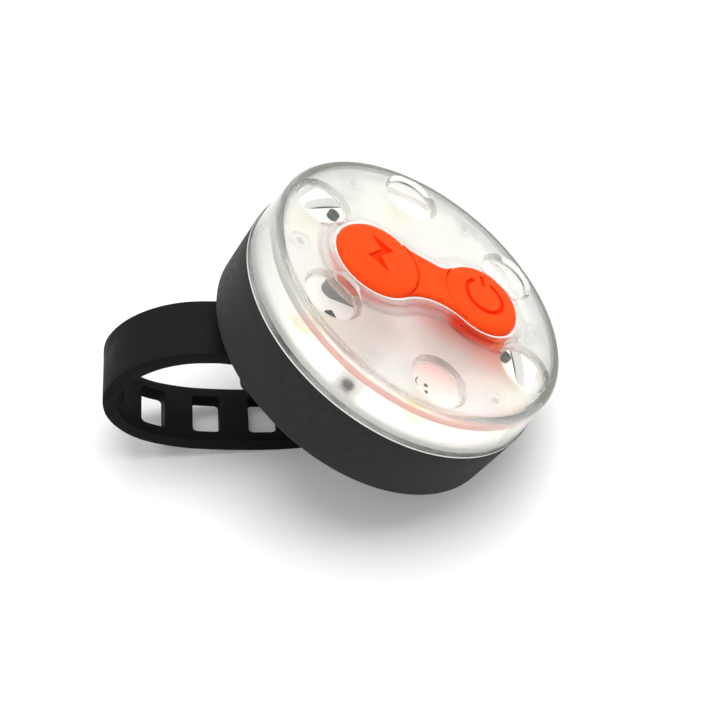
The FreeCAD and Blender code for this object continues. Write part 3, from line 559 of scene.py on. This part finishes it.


# Clear cover with six windows and the well for the silicone. Its far side is darker at the edge with painted
# shade, up to farEdge and farFade degrees to each side of the direction farSide.

cover = {
    "wall": 24.75, "thickness": 1.5, "draft": 0.35, "height": 8.25, "dome": 700.0, "edge": 0.9, "band": 0.55,
    "farSide": 51.5, "farEdge": 90, "farFade": 103,
    "taper": 0.02, "foot": 1.05, "lift": 0.03, "footRound": 0.08,
    "flange": 24.98, "flangeHeight": 0.55, "flangeRound": 0.12, "flangeStep": 0.05, "whiteLine": 0.34,
    "boreBend": 0.4, "ceilingRound": (0.04, 0.1), "boreReach": 0.1,
    "window": 4.5, "windowFloor": 4.05, "windowDepth": 0.8, "windowUnder": 3.9, "windowRing": 18.8,
    "windowRound": 0.1, "windowLip": 0.02, "toolTop": 3,
    "pip": 1.6, "pipRing": 20.3, "pipHeight": 0.4, "pipRound": 0.1, "dimple": 0.4, "dimpleDepth": 0.25,
    "wellGap": 0.1, "wellFloor": 6.2, "wellFloorThickness": 0.8, "wellRound": 0.15,
    "collarWall": 1.3, "collarTop": 8.95, "collarRound": (0.25, 0.1), "collarFlat": (0.4, 0.2),
    "skirt": 1.5, "skirtTop": 0.12, "portHole": (9.34, 3.66), "buttonHole": 1.8,
    "sliceReach": 25, "faceSlice": 2.4, "ceilingSlice": 3, "sliver": 0.003,
}
coverLines = {
    "rim": cover["wall"] - cover["draft"], "bore": cover["wall"] - cover["thickness"],
    "ceiling": cover["height"] - cover["thickness"],
    "band": cover["wall"] - cover["draft"] - cover["edge"] - cover["band"],
}


# Six spots round the lens axis, the first one turned by the start angle
def ringSpots(radius, start):
    turns = [math.radians(start + 60 * step) for step in range(6)]
    return [(radius * math.cos(turn), radius * math.sin(turn)) for turn in turns]


# Sinks a polished round window into the face
def cutWindow(bm, x, y):
    part = cover
    soft = part["windowRound"]
    face = part["height"] - part["windowRing"] ** 2 / (2 * part["dome"])
    deep = face - part["windowDepth"]
    shrink = part["windowFloor"] - part["window"]
    levels = [(shrink - 2 * soft, deep)] + quarter((shrink - soft, deep), (shrink, deep + soft), 4)
    levels += [(0, face - soft), (soft, face + part["windowLip"]), (soft, face + part["toolTop"])]
    cutter = bmesh.new()
    prism(cutter, circle(x, y, part["window"], 72), levels)
    bmesh.ops.recalc_face_normals(cutter, faces=cutter.faces)
    for facet in cutter.faces:
        facet.material_index = coverSlot["clear" if abs(facet.normal.z) > 0.5 else "pale"]
    bmesh.ops.remove_doubles(bm, verts=bm.verts, dist=weld)
    bmesh.ops.recalc_face_normals(bm, faces=bm.faces)
    looks = coverLooks.values()
    whole, tool = meshObject("coverWhole", bm, looks), meshObject("windowTool", cutter, looks)
    carve = whole.modifiers.new("carve", "BOOLEAN")
    carve.operation, carve.solver, carve.object = "DIFFERENCE", "EXACT", tool
    bpy.context.view_layer.update()
    carved = bpy.data.meshes.new_from_object(whole.evaluated_get(bpy.context.evaluated_depsgraph_get()))
    bm.clear()
    bm.from_mesh(carved)
    for item in (whole, tool):
        leftover = item.data
        bpy.data.objects.remove(item)
        bpy.data.meshes.remove(leftover)
    bpy.data.meshes.remove(carved)


# Round pip with a dimple, below the ceiling. Gives back the loop where it meets the ceiling.
def makePip(bm, x, y):
    part = cover
    ceiling, soft = coverLines["ceiling"], part["pipRound"]
    tipHeight = ceiling - part["pipHeight"]
    before = set(bm.faces)
    foot, tip = walls(bm, circle(x, y, part["pip"], 48),
                      [(0, ceiling), (0, tipHeight + soft), (-soft, tipHeight)])
    dimple, bottom = walls(bm, circle(x, y, part["pip"] * part["dimple"], 32),
                           [(0, tipHeight), (-soft, tipHeight + part["dimpleDepth"])])
    flat(bm, bottom)
    paint(bm, before, coverSlot["pip"])
    flat(bm, tip, dimple)
    return foot


# Half section of the shell, from the face over the outer wall and the foot to the ceiling inside
def coverProfile():
    part = cover
    top, wall, draft, edge = part["height"], part["wall"], part["draft"], part["edge"]
    rim, bore, ceiling = coverLines["rim"], coverLines["bore"], coverLines["ceiling"]
    flange, high, soft = part["flange"], part["flangeHeight"], part["flangeRound"]
    profile = [(coverLines["band"], top)] + quarter((rim, top - edge), (rim - edge, top), 8, True)[::-1]
    profile += [(rim + draft * 0.5, top * 0.5), (wall - part["taper"], part["foot"]), (wall, high + soft),
                (wall + part["flangeStep"], high)]
    profile += quarter((flange, high - soft), (flange - soft, high), 3, True)[::-1]
    profile += [(flange, part["whiteLine"])]
    profile += quarter((flange, soft), (flange - part["footRound"], part["lift"]), 3, True)
    profile += [(bore, part["lift"]), (bore - draft * 0.5, top * part["boreBend"])]
    inwards, down = part["ceilingRound"]
    return profile + quarter((bore - draft, ceiling - down), (bore - draft - inwards, ceiling), 3, True)


# Skirt and collar round the silicone, from the face outside to the floor of the well
def makeCollar(bm):
    part = cover
    gap, top = part["wellGap"], part["collarTop"]
    out = gap + part["collarWall"]
    inwards, down = part["collarRound"]
    levels = quarter((out + part["skirt"], part["height"]), (out, top - part["skirtTop"]), 6)
    levels += quarter((out, top - down), (out - inwards, top), 4, True)
    rimFrom = len(levels)
    levels += [(gap + flatPart, top) for flatPart in part["collarFlat"]]
    levels += quarter((gap, top - part["wellRound"]), (gap + part["wellRound"], top), 4, True)[::-1]
    levels += [(gap, part["wellFloor"])]
    outline, before = boneOutline(), len(bm.faces)
    loops = walls(bm, outline, levels)
    for i, face in enumerate(list(bm.faces)[before:]):
        onRim = rimFrom <= i // len(outline) < len(levels) - 2
        face.material_index = coverSlot["rim" if onRim else "collar"]
    return loops


# The look of a face of the shell by its place, or None where it keeps the look it has
def lookByPlace(face):
    part = cover
    rim, bore, ceiling = coverLines["rim"], coverLines["bore"], coverLines["ceiling"]
    reach = bore + part["boreReach"]
    middle = face.calc_center_median()
    out, up = middle.xy.length, middle.z
    if out > part["wall"] - part["taper"] and up < part["whiteLine"]:
        return "rim"
    if out > part["wall"] - part["taper"] - hair and up < part["foot"]:
        return "foot"
    if bore - part["draft"] - 5 * hair < out < reach and up < ceiling - part["ceilingRound"][1]:
        return "inner"
    # On the far side the edge's faces get painted shade, dark and then fading
    if up > part["height"] - part["edge"] and out > coverLines["band"] + hair / 2:
        away = abs(bearing(middle.x, middle.y) - part["farSide"])
        near = "wall" if out > rim - part["edge"] else "face"
        return "edge" if away < part["farEdge"] else "edgeShadeSoft" if away < part["farFade"] else near
    if out > rim - hair and up > hair:
        return "wall"
    if face.material_index == 0 and all(v.co.z < ceiling + hair and v.co.xy.length < reach
                                        for v in face.verts):
        return "frost"
    return None


def makeCover():
    part = cover
    bm = bmesh.new()
    ceiling, wellFloor = coverLines["ceiling"], part["wellFloor"]
    topLoop, ceilingLoop = turned(bm, coverProfile(), 192)
    inCeiling = []
    for x, y in ringSpots(part["windowRing"], 30):
        under = loop(bm, circle(x, y, part["windowUnder"], 72), ceiling)
        inCeiling.append(under)
        for face in flat(bm, under):
            face.material_index = coverSlot["clear"]
    inCeiling += [makePip(bm, x, y) for x, y in ringSpots(part["pipRing"], 0)]
    skirtLoop, wellLoop = makeCollar(bm)
    collar, under = part["wellGap"] + part["collarWall"], wellFloor - part["wellFloorThickness"]
    boneLow, boneHigh = walls(bm, boneOutline(), [(collar, under), (collar, ceiling)])
    holes = [oblong(bone["portX"], *part["portHole"]), circle(bone["buttonX"], 0, part["buttonHole"], 32)]
    holeLoops = [walls(bm, hole, [(0, under), (0, wellFloor)]) for hole in holes]
    flat(bm, wellLoop, *[high for low, high in holeLoops])
    flat(bm, boneLow, *[low for low, high in holeLoops])
    topFaces = flat(bm, topLoop, skirtLoop)
    flat(bm, ceilingLoop, boneHigh, *inCeiling)
    for face in bm.faces:
        look = lookByPlace(face)
        if look:
            face.material_index = coverSlot[look]
    diced(bm, topFaces, part["sliceReach"], part["faceSlice"])
    ceilingFaces = [face for face in bm.faces if abs(face.calc_center_median().z - ceiling) < hair]
    diced(bm, ceilingFaces, part["sliceReach"], part["ceilingSlice"])
    for vert in bm.verts:
        vert.co.z *= 1 - vert.co.xy.length_squared / (2 * part["dome"] * part["height"])
    for x, y in ringSpots(part["windowRing"], 30):
        cutWindow(bm, x, y)
    bmesh.ops.dissolve_degenerate(bm, dist=part["sliver"], edges=bm.edges)
    finished("clearCover", bm, coverLooks.values(), "front_cover", sharp=32)


# Orange silicone: base sheet with the neck, port cover and power button

silicone = {
    "sheet": (6.2, 6.8), "sheetRound": 0.1, "portHole": (11.6, 6.0), "buttonHole": 1.8, "discGap": 0.04,
    "neckTop": 9.45, "neckRound": 0.9, "neckSunk": 0.15, "creaseRound": 0.12, "creaseShare": 0.45,
    "discTop": 10.15, "dome": 52.0, "discRound": 1.2, "discFoot": 0.1, "draft": 0.3, "shoulder": 8.11,
    "sliceReach": 16, "slice": 0.9, "signDepth": 0.5, "signRound": 0.08, "signDraft": 0.06,
    "boltHalf": [(-1.1, 3.4), (2.2, 1.35), (-0.1, -0.7)], "boltShift": (-0.2, 0.4),
    "signLine": 0.62, "signRing": 3.1, "signGap": 32.0, "bar": (0.1, 3.165, 2.3), "barEnd": 0.98,
    "plug": (11.2, 5.6), "plugDepth": 0.4, "nub": 1.5, "nubTip": 5.02, "tipRound": 0.15, "buttonFoot": 7.35,
}


# The second half of the bolt is the first one turned about its middle
def boltSign(cx):
    dx, dy = silicone["boltShift"]
    points = silicone["boltHalf"] + [(-x, -y) for x, y in silicone["boltHalf"]]
    return [Vector((x + cx + dx, y + dy, 0)) for x, y in reversed(points)]


# Power sign: an open ring and the bar in its gap
def powerSign(cx):
    ring, half, gap = silicone["signRing"], silicone["signLine"] / 2, silicone["signGap"]
    start, stop = 90 + gap, 450 - gap
    middle = Vector((cx, 0, 0))
    outer = arc(cx, 0, ring + half, start, stop, 60)
    first, last = [tip + (middle - tip).normalized() * half for tip in (outer[0], outer[-1])]
    outline = outer + arc(last.x, last.y, half, stop, stop + 180, 8)[1:-1]
    outline += arc(cx, 0, ring - half, start, stop, 60)[::-1]
    outline += arc(first.x, first.y, half, start + 180, start + 360, 8)[1:-1]
    dx, y, length = silicone["bar"]
    return [outline, roundedRect(cx + dx, y, half * 2, length, half * silicone["barEnd"], 5)]


# Disc with a domed top, its signs and a plug or nub below that ends at the tip height
def crownedDisc(bm, x, radius, foot, signs, below, tipHeight):
    part = silicone
    top, soft, shoulder, sign = part["discTop"], part["discRound"], part["shoulder"], part["signRound"]
    draft, edge = part["draft"], part["discFoot"]
    levels = [(-draft - edge, foot), (-draft, foot + edge), (0, shoulder)]
    levels += quarter((0, top - soft), (-soft, top), 9, True)
    low, high = walls(bm, circle(x, 0, radius, 120), levels)
    marks = []
    # The signs' walls and floors go in slot 1, the darker orange: painted shade in the recesses
    for outline in signs:
        before = set(bm.faces)
        mouth, bottom = walls(bm, outline, [(sign, top), (0, top - sign),
                                            (-part["signDraft"], top - part["signDepth"])])
        marks.append(mouth)
        flat(bm, bottom)
        paint(bm, before, 1)
    diced(bm, flat(bm, high, *marks), part["sliceReach"], part["slice"])
    for vert in bm.verts:
        if vert.co.z > shoulder + hair:
            lift = (vert.co.z - shoulder) / (top - shoulder)
            vert.co.z -= (vert.co.xy - Vector((x, 0))).length_squared / (2 * part["dome"]) * lift
    soft = part["tipRound"]
    mouth, tip = walls(bm, below, [(0, foot), (0, tipHeight + soft), (-soft, tipHeight)])
    flat(bm, low, mouth)
    flat(bm, tip)


def makePortCover():
    bm = bmesh.new()
    x, foot = bone["portX"], silicone["sheet"][1]
    crownedDisc(bm, x, bone["portRadius"], foot, [boltSign(x)], oblong(x, *silicone["plug"], 12),
                foot - silicone["plugDepth"])
    finished("portCap", bm, [orangeSilicone, orangeSunkShade], "port_cover", body="port_cover")


def makePowerButton():
    bm = bmesh.new()
    x = bone["buttonX"]
    crownedDisc(bm, x, bone["buttonRadius"], silicone["buttonFoot"], powerSign(x),
                circle(x, 0, silicone["nub"], 32), silicone["nubTip"])
    finished("powerCap", bm, [orangeSilicone, orangeSunkShade], "power_button", body="power_button")


# Outline of the raised neck, which stops a gap short of both discs
def neckOutline():
    x, y, portTurn, buttonTurn = waist()
    gap = silicone["discGap"]
    port, button, far, near = bone["portRadius"], bone["buttonRadius"], bone["farArc"], bone["neckArc"]
    portArc, portTrim = trims(port + gap, port, near)
    buttonArc, buttonTrim = trims(button + gap, button, near)
    farPortArc, farPortTrim = trims(port + gap, port, far)
    farButtonArc, farButtonTrim = trims(button + gap, button, far)
    outline, buttonFar, portFar = farOutline(farButtonArc, farPortArc)
    outline += arc(bone["portX"], 0, port + gap, portFar - farPortTrim, portTrim - portTurn, 28)[1:-1]
    outline += arc(x, -y, near, 180 - portTurn - portArc, 180 - buttonTurn + buttonArc, 40)
    return outline + arc(bone["buttonX"], 0, button + gap, -buttonTurn + buttonTrim,
                         buttonFar - 360 + farButtonTrim, 28)[1:-1]


# How much of the neck's round edge fits at each point of its outline
def neckShare(outline):
    part = silicone
    ports, buttons = Vector((bone["portX"], 0, 0)), Vector((bone["buttonX"], 0, 0))
    share = []
    for point in outline:
        fromDiscs = min((point - ports).length - bone["portRadius"],
                        (point - buttons).length - bone["buttonRadius"]) - part["discGap"]
        fromSides = sideGap(point)
        onSide = fromSides < hair / 10
        room = (fromDiscs if onSide else fromSides) * part["creaseShare"]
        share.append(min(room, part["neckRound"] if onSide else part["creaseRound"]) / part["neckRound"])
    return share


def makeNeck():
    bm = bmesh.new()
    part = silicone
    bottom, top = part["sheet"]
    soft, edge = part["neckRound"], part["sheetRound"]
    holes = [oblong(bone["portX"], *part["portHole"], 12), circle(bone["buttonX"], 0, part["buttonHole"], 32)]
    low, high = walls(bm, boneOutline(), [(0, bottom), (0, top - edge), (-edge, top)])
    holeLoops = [walls(bm, hole, [(0, bottom), (0, top)]) for hole in holes]
    flat(bm, low, *[one for one, other in holeLoops])
    flat(bm, high, *[other for one, other in holeLoops])
    outline = neckOutline()
    levels = [(0, top - part["neckSunk"])]
    levels += quarter((0, part["neckTop"] - soft), (-soft, part["neckTop"]), 7, True)
    neck = bmesh.new()
    prism(neck, outline, levels, neckShare(outline))
    faceOut(bm)
    joined(bm, neck)
    finished("siliconeNeck", bm, [orangeSilicone], "silicone_base", faced=True)


# Ladder strap, made flat and then bent along its route

strap = {
    "width": 10.8, "thickness": 2.3, "round": 0.35, "corner": 2.0, "tail": 5.2, "slice": 0.7,
    "hole": (4.2, 7.0), "holeCorner": 0.7, "holeRound": 0.16, "pitch": 8.7, "holes": 7, "slack": 0.7,
    "pinX": -16.0, "pinDrop": 2.9, "eye": 2.3, "eyeHole": 0.2, "eyeRound": 0.35, "seatGap": 0.2,
    "seatEntry": (2.2, 0.25), "routeSteps": 24,
    "loop": [(-19.2, 3.2), (-22.0, 4.1), (-26.3, 6.6), (-29.6, 10.0), (-31.6, 14.0), (-31.9, 18.1),
             (-30.0, 21.6), (-26.8, 23.5), (-23.2, 24.05), (-19.0, 23.4), (-14.9, 22.1), (-8.0, 18.95),
             (-2.75, 16.0), (1.9, 12.4), (5.6, 8.2), (8.6, 4.0)],
}


# Smooth route through the knots: the pin, the loop and the seat over the hook
def strapRoute():
    back = -housing["depth"]
    seat = back - strap["seatGap"] - strap["thickness"] / 2
    hookX = housing["hookX"]
    before, drop = strap["seatEntry"]
    knots = [(strap["pinX"], back - strap["pinDrop"])] + [(x, back - depth) for x, depth in strap["loop"]]
    knots += [(hookX - before, seat - drop), (hookX, seat), (hookX + strap["tail"], seat)]
    knots = [Vector((x, 0, z)) for x, z in knots]
    knots = [2 * knots[0] - knots[1]] + knots + [2 * knots[-1] - knots[-2]]
    route = []
    for a, b, c, d in zip(knots, knots[1:], knots[2:], knots[3:]):
        ab, bc, cd = (b - a).length, (c - b).length, (d - c).length
        first = ((c - a) / (ab + bc)) * bc
        second = ((d - b) / (bc + cd)) * bc
        for i in range(strap["routeSteps"]):
            u = i / strap["routeSteps"]
            route.append((2 * u ** 3 - 3 * u ** 2 + 1) * b + (u ** 3 - 2 * u ** 2 + u) * first
                         + (3 * u ** 2 - 2 * u ** 3) * c + (u ** 3 - u ** 2) * second)
    return route + [knots[-2]]


# Levels of a wall through the strap's thickness with both edges rounded: way 1 for its sides, -1 for its holes
def strapLevels(radius, way):
    half = strap["thickness"] / 2
    side = [(out * way, up) for out, up in quarter((0, half - radius), (-radius, half), 5, True)]
    return [(out, -up) for out, up in reversed(side)] + side


# Lays the flat strap, which runs along x from 0, onto the route
def bendAlong(bm, route, lengths):
    last = len(lengths) - 1
    for vert in bm.verts:
        distance = min(max(vert.co.x, 0.0), lengths[last])
        i = min(max(next((k for k, reach in enumerate(lengths) if reach > distance), last), 1), last)
        share = (distance - lengths[i - 1]) / (lengths[i] - lengths[i - 1])
        point = route[i - 1].lerp(route[i], share)
        along = (route[min(i + 2, last)] - route[max(i - 3, 0)]).normalized()
        across = along.cross(Vector((0, 1, 0)))
        vert.co = point + across * vert.co.z + Vector((0, vert.co.y, 0))


def makeStrap():
    part = strap
    route = strapRoute()
    lengths = [0.0]
    for before, after in zip(route, route[1:]):
        lengths.append(lengths[-1] + (after - before).length)
    total = lengths[-1]
    bm = bmesh.new()
    sides = roundedRect(total / 2, 0, total, part["width"], part["corner"], 10)
    low, high = walls(bm, sides, strapLevels(part["round"], 1))
    holes = []
    for step in range(part["holes"]):
        centre = total - part["tail"] - part["slack"] - step * part["pitch"]
        outline = roundedRect(centre, 0, *part["hole"], part["holeCorner"], 6)
        holes.append(walls(bm, outline, strapLevels(part["holeRound"], -1)))
    flat(bm, low, *[one for one, other in holes])
    flat(bm, high, *[other for one, other in holes])
    sliced(bm, list(bm.faces), 0, 0, total, part["slice"])
    bmesh.ops.recalc_face_normals(bm, faces=bm.faces)
    bendAlong(bm, route, lengths)
    wide, out, hole, soft = part["width"] / 2, part["eye"], part["eyeHole"], part["eyeRound"]
    profile = [(hole, -wide)] + quarter((out - soft, -wide), (out, -wide + soft), 4)
    profile += quarter((out, wide - soft), (out - soft, wide), 4, True) + [(hole, wide)]
    eye = bmesh.new()
    for end in turned(eye, profile, 48):
        flat(eye, end)
    eye.transform(Matrix.Translation((part["pinX"], 0, -housing["depth"] - part["pinDrop"]))
                  @ Matrix.Rotation(math.pi / 2, 4, "X"))
    joined(bm, eye)
    finished("ladderStrap", bm, [strapBlack], "strap")


# Inside: cushion ring, LEDs, tray and charging socket

inside = {
    "ringRadius": 22.35, "ringHeight": 4.9, "ringTube": 0.45,
    "ledRing": 18.8, "led": 5.0, "ledHeight": 1.4, "ledCorner": 0.25, "ledRound": 0.1,
    "ledCup": 2.1, "ledDeep": 0.35, "ledDraft": 0.2,
    "trayOuter": 22.25, "trayShoulder": 22.8, "trayWall": 0.55, "trayLow": 1.3, "trayHigh": 4.45,
    "trayStep": 0.5, "trayWindow": 6, "trayWindowAt": -120,
    "socket": (8.94, 3.26), "socketWall": 0.3, "socketHeight": 6.3, "socketRound": 0.06, "socketShade": 0.3,
}


def makeCushion():
    part = inside
    bm = bmesh.new()
    turns = [math.tau * i / 16 for i in range(17)]
    turned(bm, [(part["ringRadius"] + part["ringTube"] * math.cos(turn),
                 part["ringHeight"] + part["ringTube"] * math.sin(turn)) for turn in turns])
    finished("cushion", bm, [ringRed], "cushion_ring")


def makeLed(number):
    part = inside
    bm = bmesh.new()
    x, side, high, soft = part["ledRing"], part["led"], part["ledHeight"], part["ledRound"]
    outline = roundedRect(x, 0, side, side, part["ledCorner"], 3)
    low, top = walls(bm, outline, [(0, 0), (0, high - soft), (-soft, high)])
    mouth, bottom = walls(bm, circle(x, 0, part["ledCup"], 40),
                          [(0, high), (-part["ledDraft"], high - part["ledDeep"])])
    flat(bm, low)
    flat(bm, top, mouth)
    for face in flat(bm, bottom):
        face.material_index = 1
    bm.transform(Matrix.Rotation(math.radians(60 * number - 30), 4, "Z"))
    finished(f"ledPackage{number}", bm, [ledCase, ledPhosphor], f"led_{number}")


# The tray is clear for a few degrees in front of one screw
def makeTray():
    part = inside
    bm = bmesh.new()
    outer, out, wall = part["trayOuter"], part["trayShoulder"], part["trayWall"]
    low, high, step = part["trayLow"], part["trayHigh"], part["trayStep"]
    turned(bm, [(outer - wall, 0), (outer, 0), (outer, low), (out, low + step), (out, high),
                (out - wall, high),
                (out - wall, low + step), (outer - wall, low), (outer - wall, 0)], 144)
    for face in bm.faces:
        middle = face.calc_center_median()
        if abs(bearing(middle.x, middle.y) - part["trayWindowAt"]) < part["trayWindow"]:
            face.material_index = 1
    finished("trayRing", bm, [whitePlastic, trayClear], "reflector_tray")


def makeSocket():
    part = inside
    bm = bmesh.new()
    wall, high, soft, dark = part["socketWall"], part["socketHeight"], part["socketRound"], part["socketShade"]
    levels = [(0, 0), (0, high * dark), (0, high - soft), (-soft, high), (soft - wall, high),
              (-wall, high - soft), (-wall, 0)]
    flat(bm, *walls(bm, oblong(bone["portX"], *part["socket"], 14), levels))
    # The shell's lower part is darker steel: painted shade along its lower edge
    for face in bm.faces:
        if face.calc_center_median().z < high * dark:
            face.material_index = 1
    finished("socketShell", bm, [brightSteel, steelShade], "usb_shell")


# Small pads printed on the board, seen through the lowest window

boardMarks = {"dots": [(3.5, -12.3, 0.36), (3.4, -13.6, 0.3)], "arc": (3.2, -12.2, 1.3, 130, 215),
              "line": 0.2, "height": 0.05}


def makeBoardMarks():
    part = boardMarks
    bm = bmesh.new()
    outlines = [circle(x, y, radius, 24) for x, y, radius in part["dots"]]
    x, y, radius, start, stop = part["arc"]
    outlines.append(arc(x, y, radius + part["line"], start, stop, 12)
                    + arc(x, y, radius, start, stop, 12)[::-1])
    for outline in outlines:
        mark = bmesh.new()
        prism(mark, outline, [(0, 0), (0, part["height"])])
        joined(bm, mark)
    finished("boardPads", bm, [padGrey], faced=True)


makeHousing()
print("housing made")
makeCover()
print("cover made")
makePortCover()
makePowerButton()
makeNeck()
print("silicone made")
makeStrap()
print("strap made")
makeCushion()
for number in range(1, 7):
    makeLed(number)
makeTray()
makeSocket()
makeBoardMarks()
print("inside made")

carried = {
    "light_board": boardWhite, "board_screws": screwBlack,
    "usb_insert": blackPlastic, "switch_body": blackPlastic, "switch_cover": brightSteel,
    "switch_plunger": blackPlastic, "battery": batteryFilm, "battery_pad": padBlack,
    "battery_lead_red": leadRed, "battery_lead_black": leadBlack, "charge_chip": chipBlack,
    "driver_chip": chipBlack, "boost_coil": chipBlack, "charge_led": ledCase, "strap_pin": brightSteel,
    "cradle_pad": padBlack,
}
carried.update({f"led_resistor_{number}": chipBlack for number in range(1, 7)})
for name, material in carried.items():
    mesh = frame["nodes"][name].data
    mesh.materials.clear()
    mesh.materials.append(material)
print("carried nodes dressed")

ringLine = -inside["ringRadius"], inside["ringHeight"]
# Painted light and shade: orange and red light from the silicone on the frost, face, collar and board, pink
# light on the ring's near side, and shade on the wall's left side, the lower left of the frost and below the
# neck
tints = (
    (boardWhite, "board", [("boardLit", (2, 0, 0), (9, 0, 0), (4, 14.5))]),
    (coverLooks["frost"], "frostPale", [("frostLit", (3, -6.5, 6.5), (11, -8, 6.5), (0.5, 8.5)),
                                       ("frostWarmShade", (-15, -16.5, 6.5), (-9.5, -12, 6.5), (1, 7)),
                                       ("frostGreyShade", (0.5, -11, 6.5), (4, -11.5, 6.5), (0.5, 5))]),
    (coverLooks["wall"], "clear", [("wallShade", (-24, 3, 4), (-22.5, -9, 4), (2, 11))]),
    (coverLooks["face"], "clear", [("faceLit", (3, -6.5, 8), (11, -8, 8), (0.5, 7.5))]),
    (coverLooks["collar"], "clear", [("collarLit", (5.2, -6.1, 8.5), (12, -7, 8.5), (1, 3.5))]),
    (ringRed, "ringPale", [("ringPinkLight", (-12, *ringLine), (6, *ringLine), (9, 15))]),
)
for material, base, patches in tints:
    paintLightAndShade(material, base, patches)
print("tints laid")


# Table, light and camera

studio = {
    "tableSize": 3.0, "tableColor": (0.86, 0.86, 0.85), "tableRoughness": 0.55, "tableShine": 0.2,
    "tableGlow": 0.12, "skyColor": (1.0, 1.0, 1.0), "skyLight": 0.66, "skySeen": 1.0,
    "sunFrom": (0.08, 0.12, 1.0), "sunStrength": 2.15, "sunAngle": 50.0,
}


# 1 for a ray of any of these kinds, else 0
def anyRay(tree, kind, *kinds):
    link = tree.links.new
    path = node(tree, "LightPath")
    seen = path.outputs[kind]
    for other in kinds:
        either = node(tree, "Math", operation="MAXIMUM")
        link(seen, either.inputs[0])
        link(path.outputs[other], either.inputs[1])
        seen = either.outputs[0]
    return seen


# The table glows weakly where the camera sees it
def makeTable():
    bm = bmesh.new()
    bmesh.ops.create_grid(bm, x_segments=1, y_segments=1, size=studio["tableSize"])
    paper = newMaterial("tableWhite", studio["tableColor"], studio["tableRoughness"],
                        Specular_IOR_Level=studio["tableShine"], Emission_Color=(1, 1, 1, 1))
    tree = paper.node_tree
    link = tree.links.new
    strength = node(tree, "Math", operation="MULTIPLY")
    strength.inputs[1].default_value = studio["tableGlow"]
    link(anyRay(tree, "Is Camera Ray", "Is Transmission Ray"), strength.inputs[0])
    link(strength.outputs[0], tree.nodes["Principled BSDF"].inputs["Emission Strength"])
    table = meshObject("table", bm, [paper])
    bm.free()


# The sky gives less light than it shows
def makeSky():
    world = bpy.data.worlds.new("studioSky")
    scene.world = world
    world.use_nodes = True
    tree = world.node_tree
    link = tree.links.new
    background = tree.nodes["Background"]
    background.inputs["Color"].default_value = (*studio["skyColor"], 1)
    seen = anyRay(tree, "Is Camera Ray", "Is Glossy Ray", "Is Transmission Ray")
    strength = node(tree, "MapRange", To_Min=studio["skyLight"], To_Max=studio["skySeen"])
    link(seen, strength.inputs["Value"])
    link(strength.outputs["Result"], background.inputs["Strength"])


def makeSun():
    data = bpy.data.lights.new("key", "SUN")
    data.energy = studio["sunStrength"]
    data.angle = math.radians(studio["sunAngle"])
    sun = bpy.data.objects.new("key", data)
    sun.rotation_euler = (-Vector(studio["sunFrom"])).to_track_quat("-Z", "Y").to_euler()
    scene.collection.objects.link(sun)


# fromSeam and aim are millimetres from the seam's centre, along the frame's axes
view = {"lens": 85.0, "sensor": 36.0, "clip": 0.01,
        "fromSeam": (-16.585, -172.528, 179.951), "aim": (-5.546, -4.002, -3.999), "roll": -1.345}


def makeCamera():
    data = bpy.data.cameras.new("camera")
    data.lens = view["lens"]
    data.sensor_width = view["sensor"]
    data.clip_start = view["clip"]
    camera = bpy.data.objects.new("camera", data)
    scene.collection.objects.link(camera)
    seam = lightFrame @ Vector((0, 0, 0))
    spot = seam + Vector(view["fromSeam"]) * mm
    target = seam + Vector(view["aim"]) * mm
    turn = (target - spot).to_track_quat("-Z", "Y").to_matrix().to_4x4()
    camera.matrix_world = Matrix.Translation(spot) @ turn @ Matrix.Rotation(math.radians(view["roll"]), 4, "Z")
    scene.camera = camera


makeTable()
makeSky()
makeSun()
makeCamera()
scene.view_settings.view_transform = "Standard"
print("studio ready")
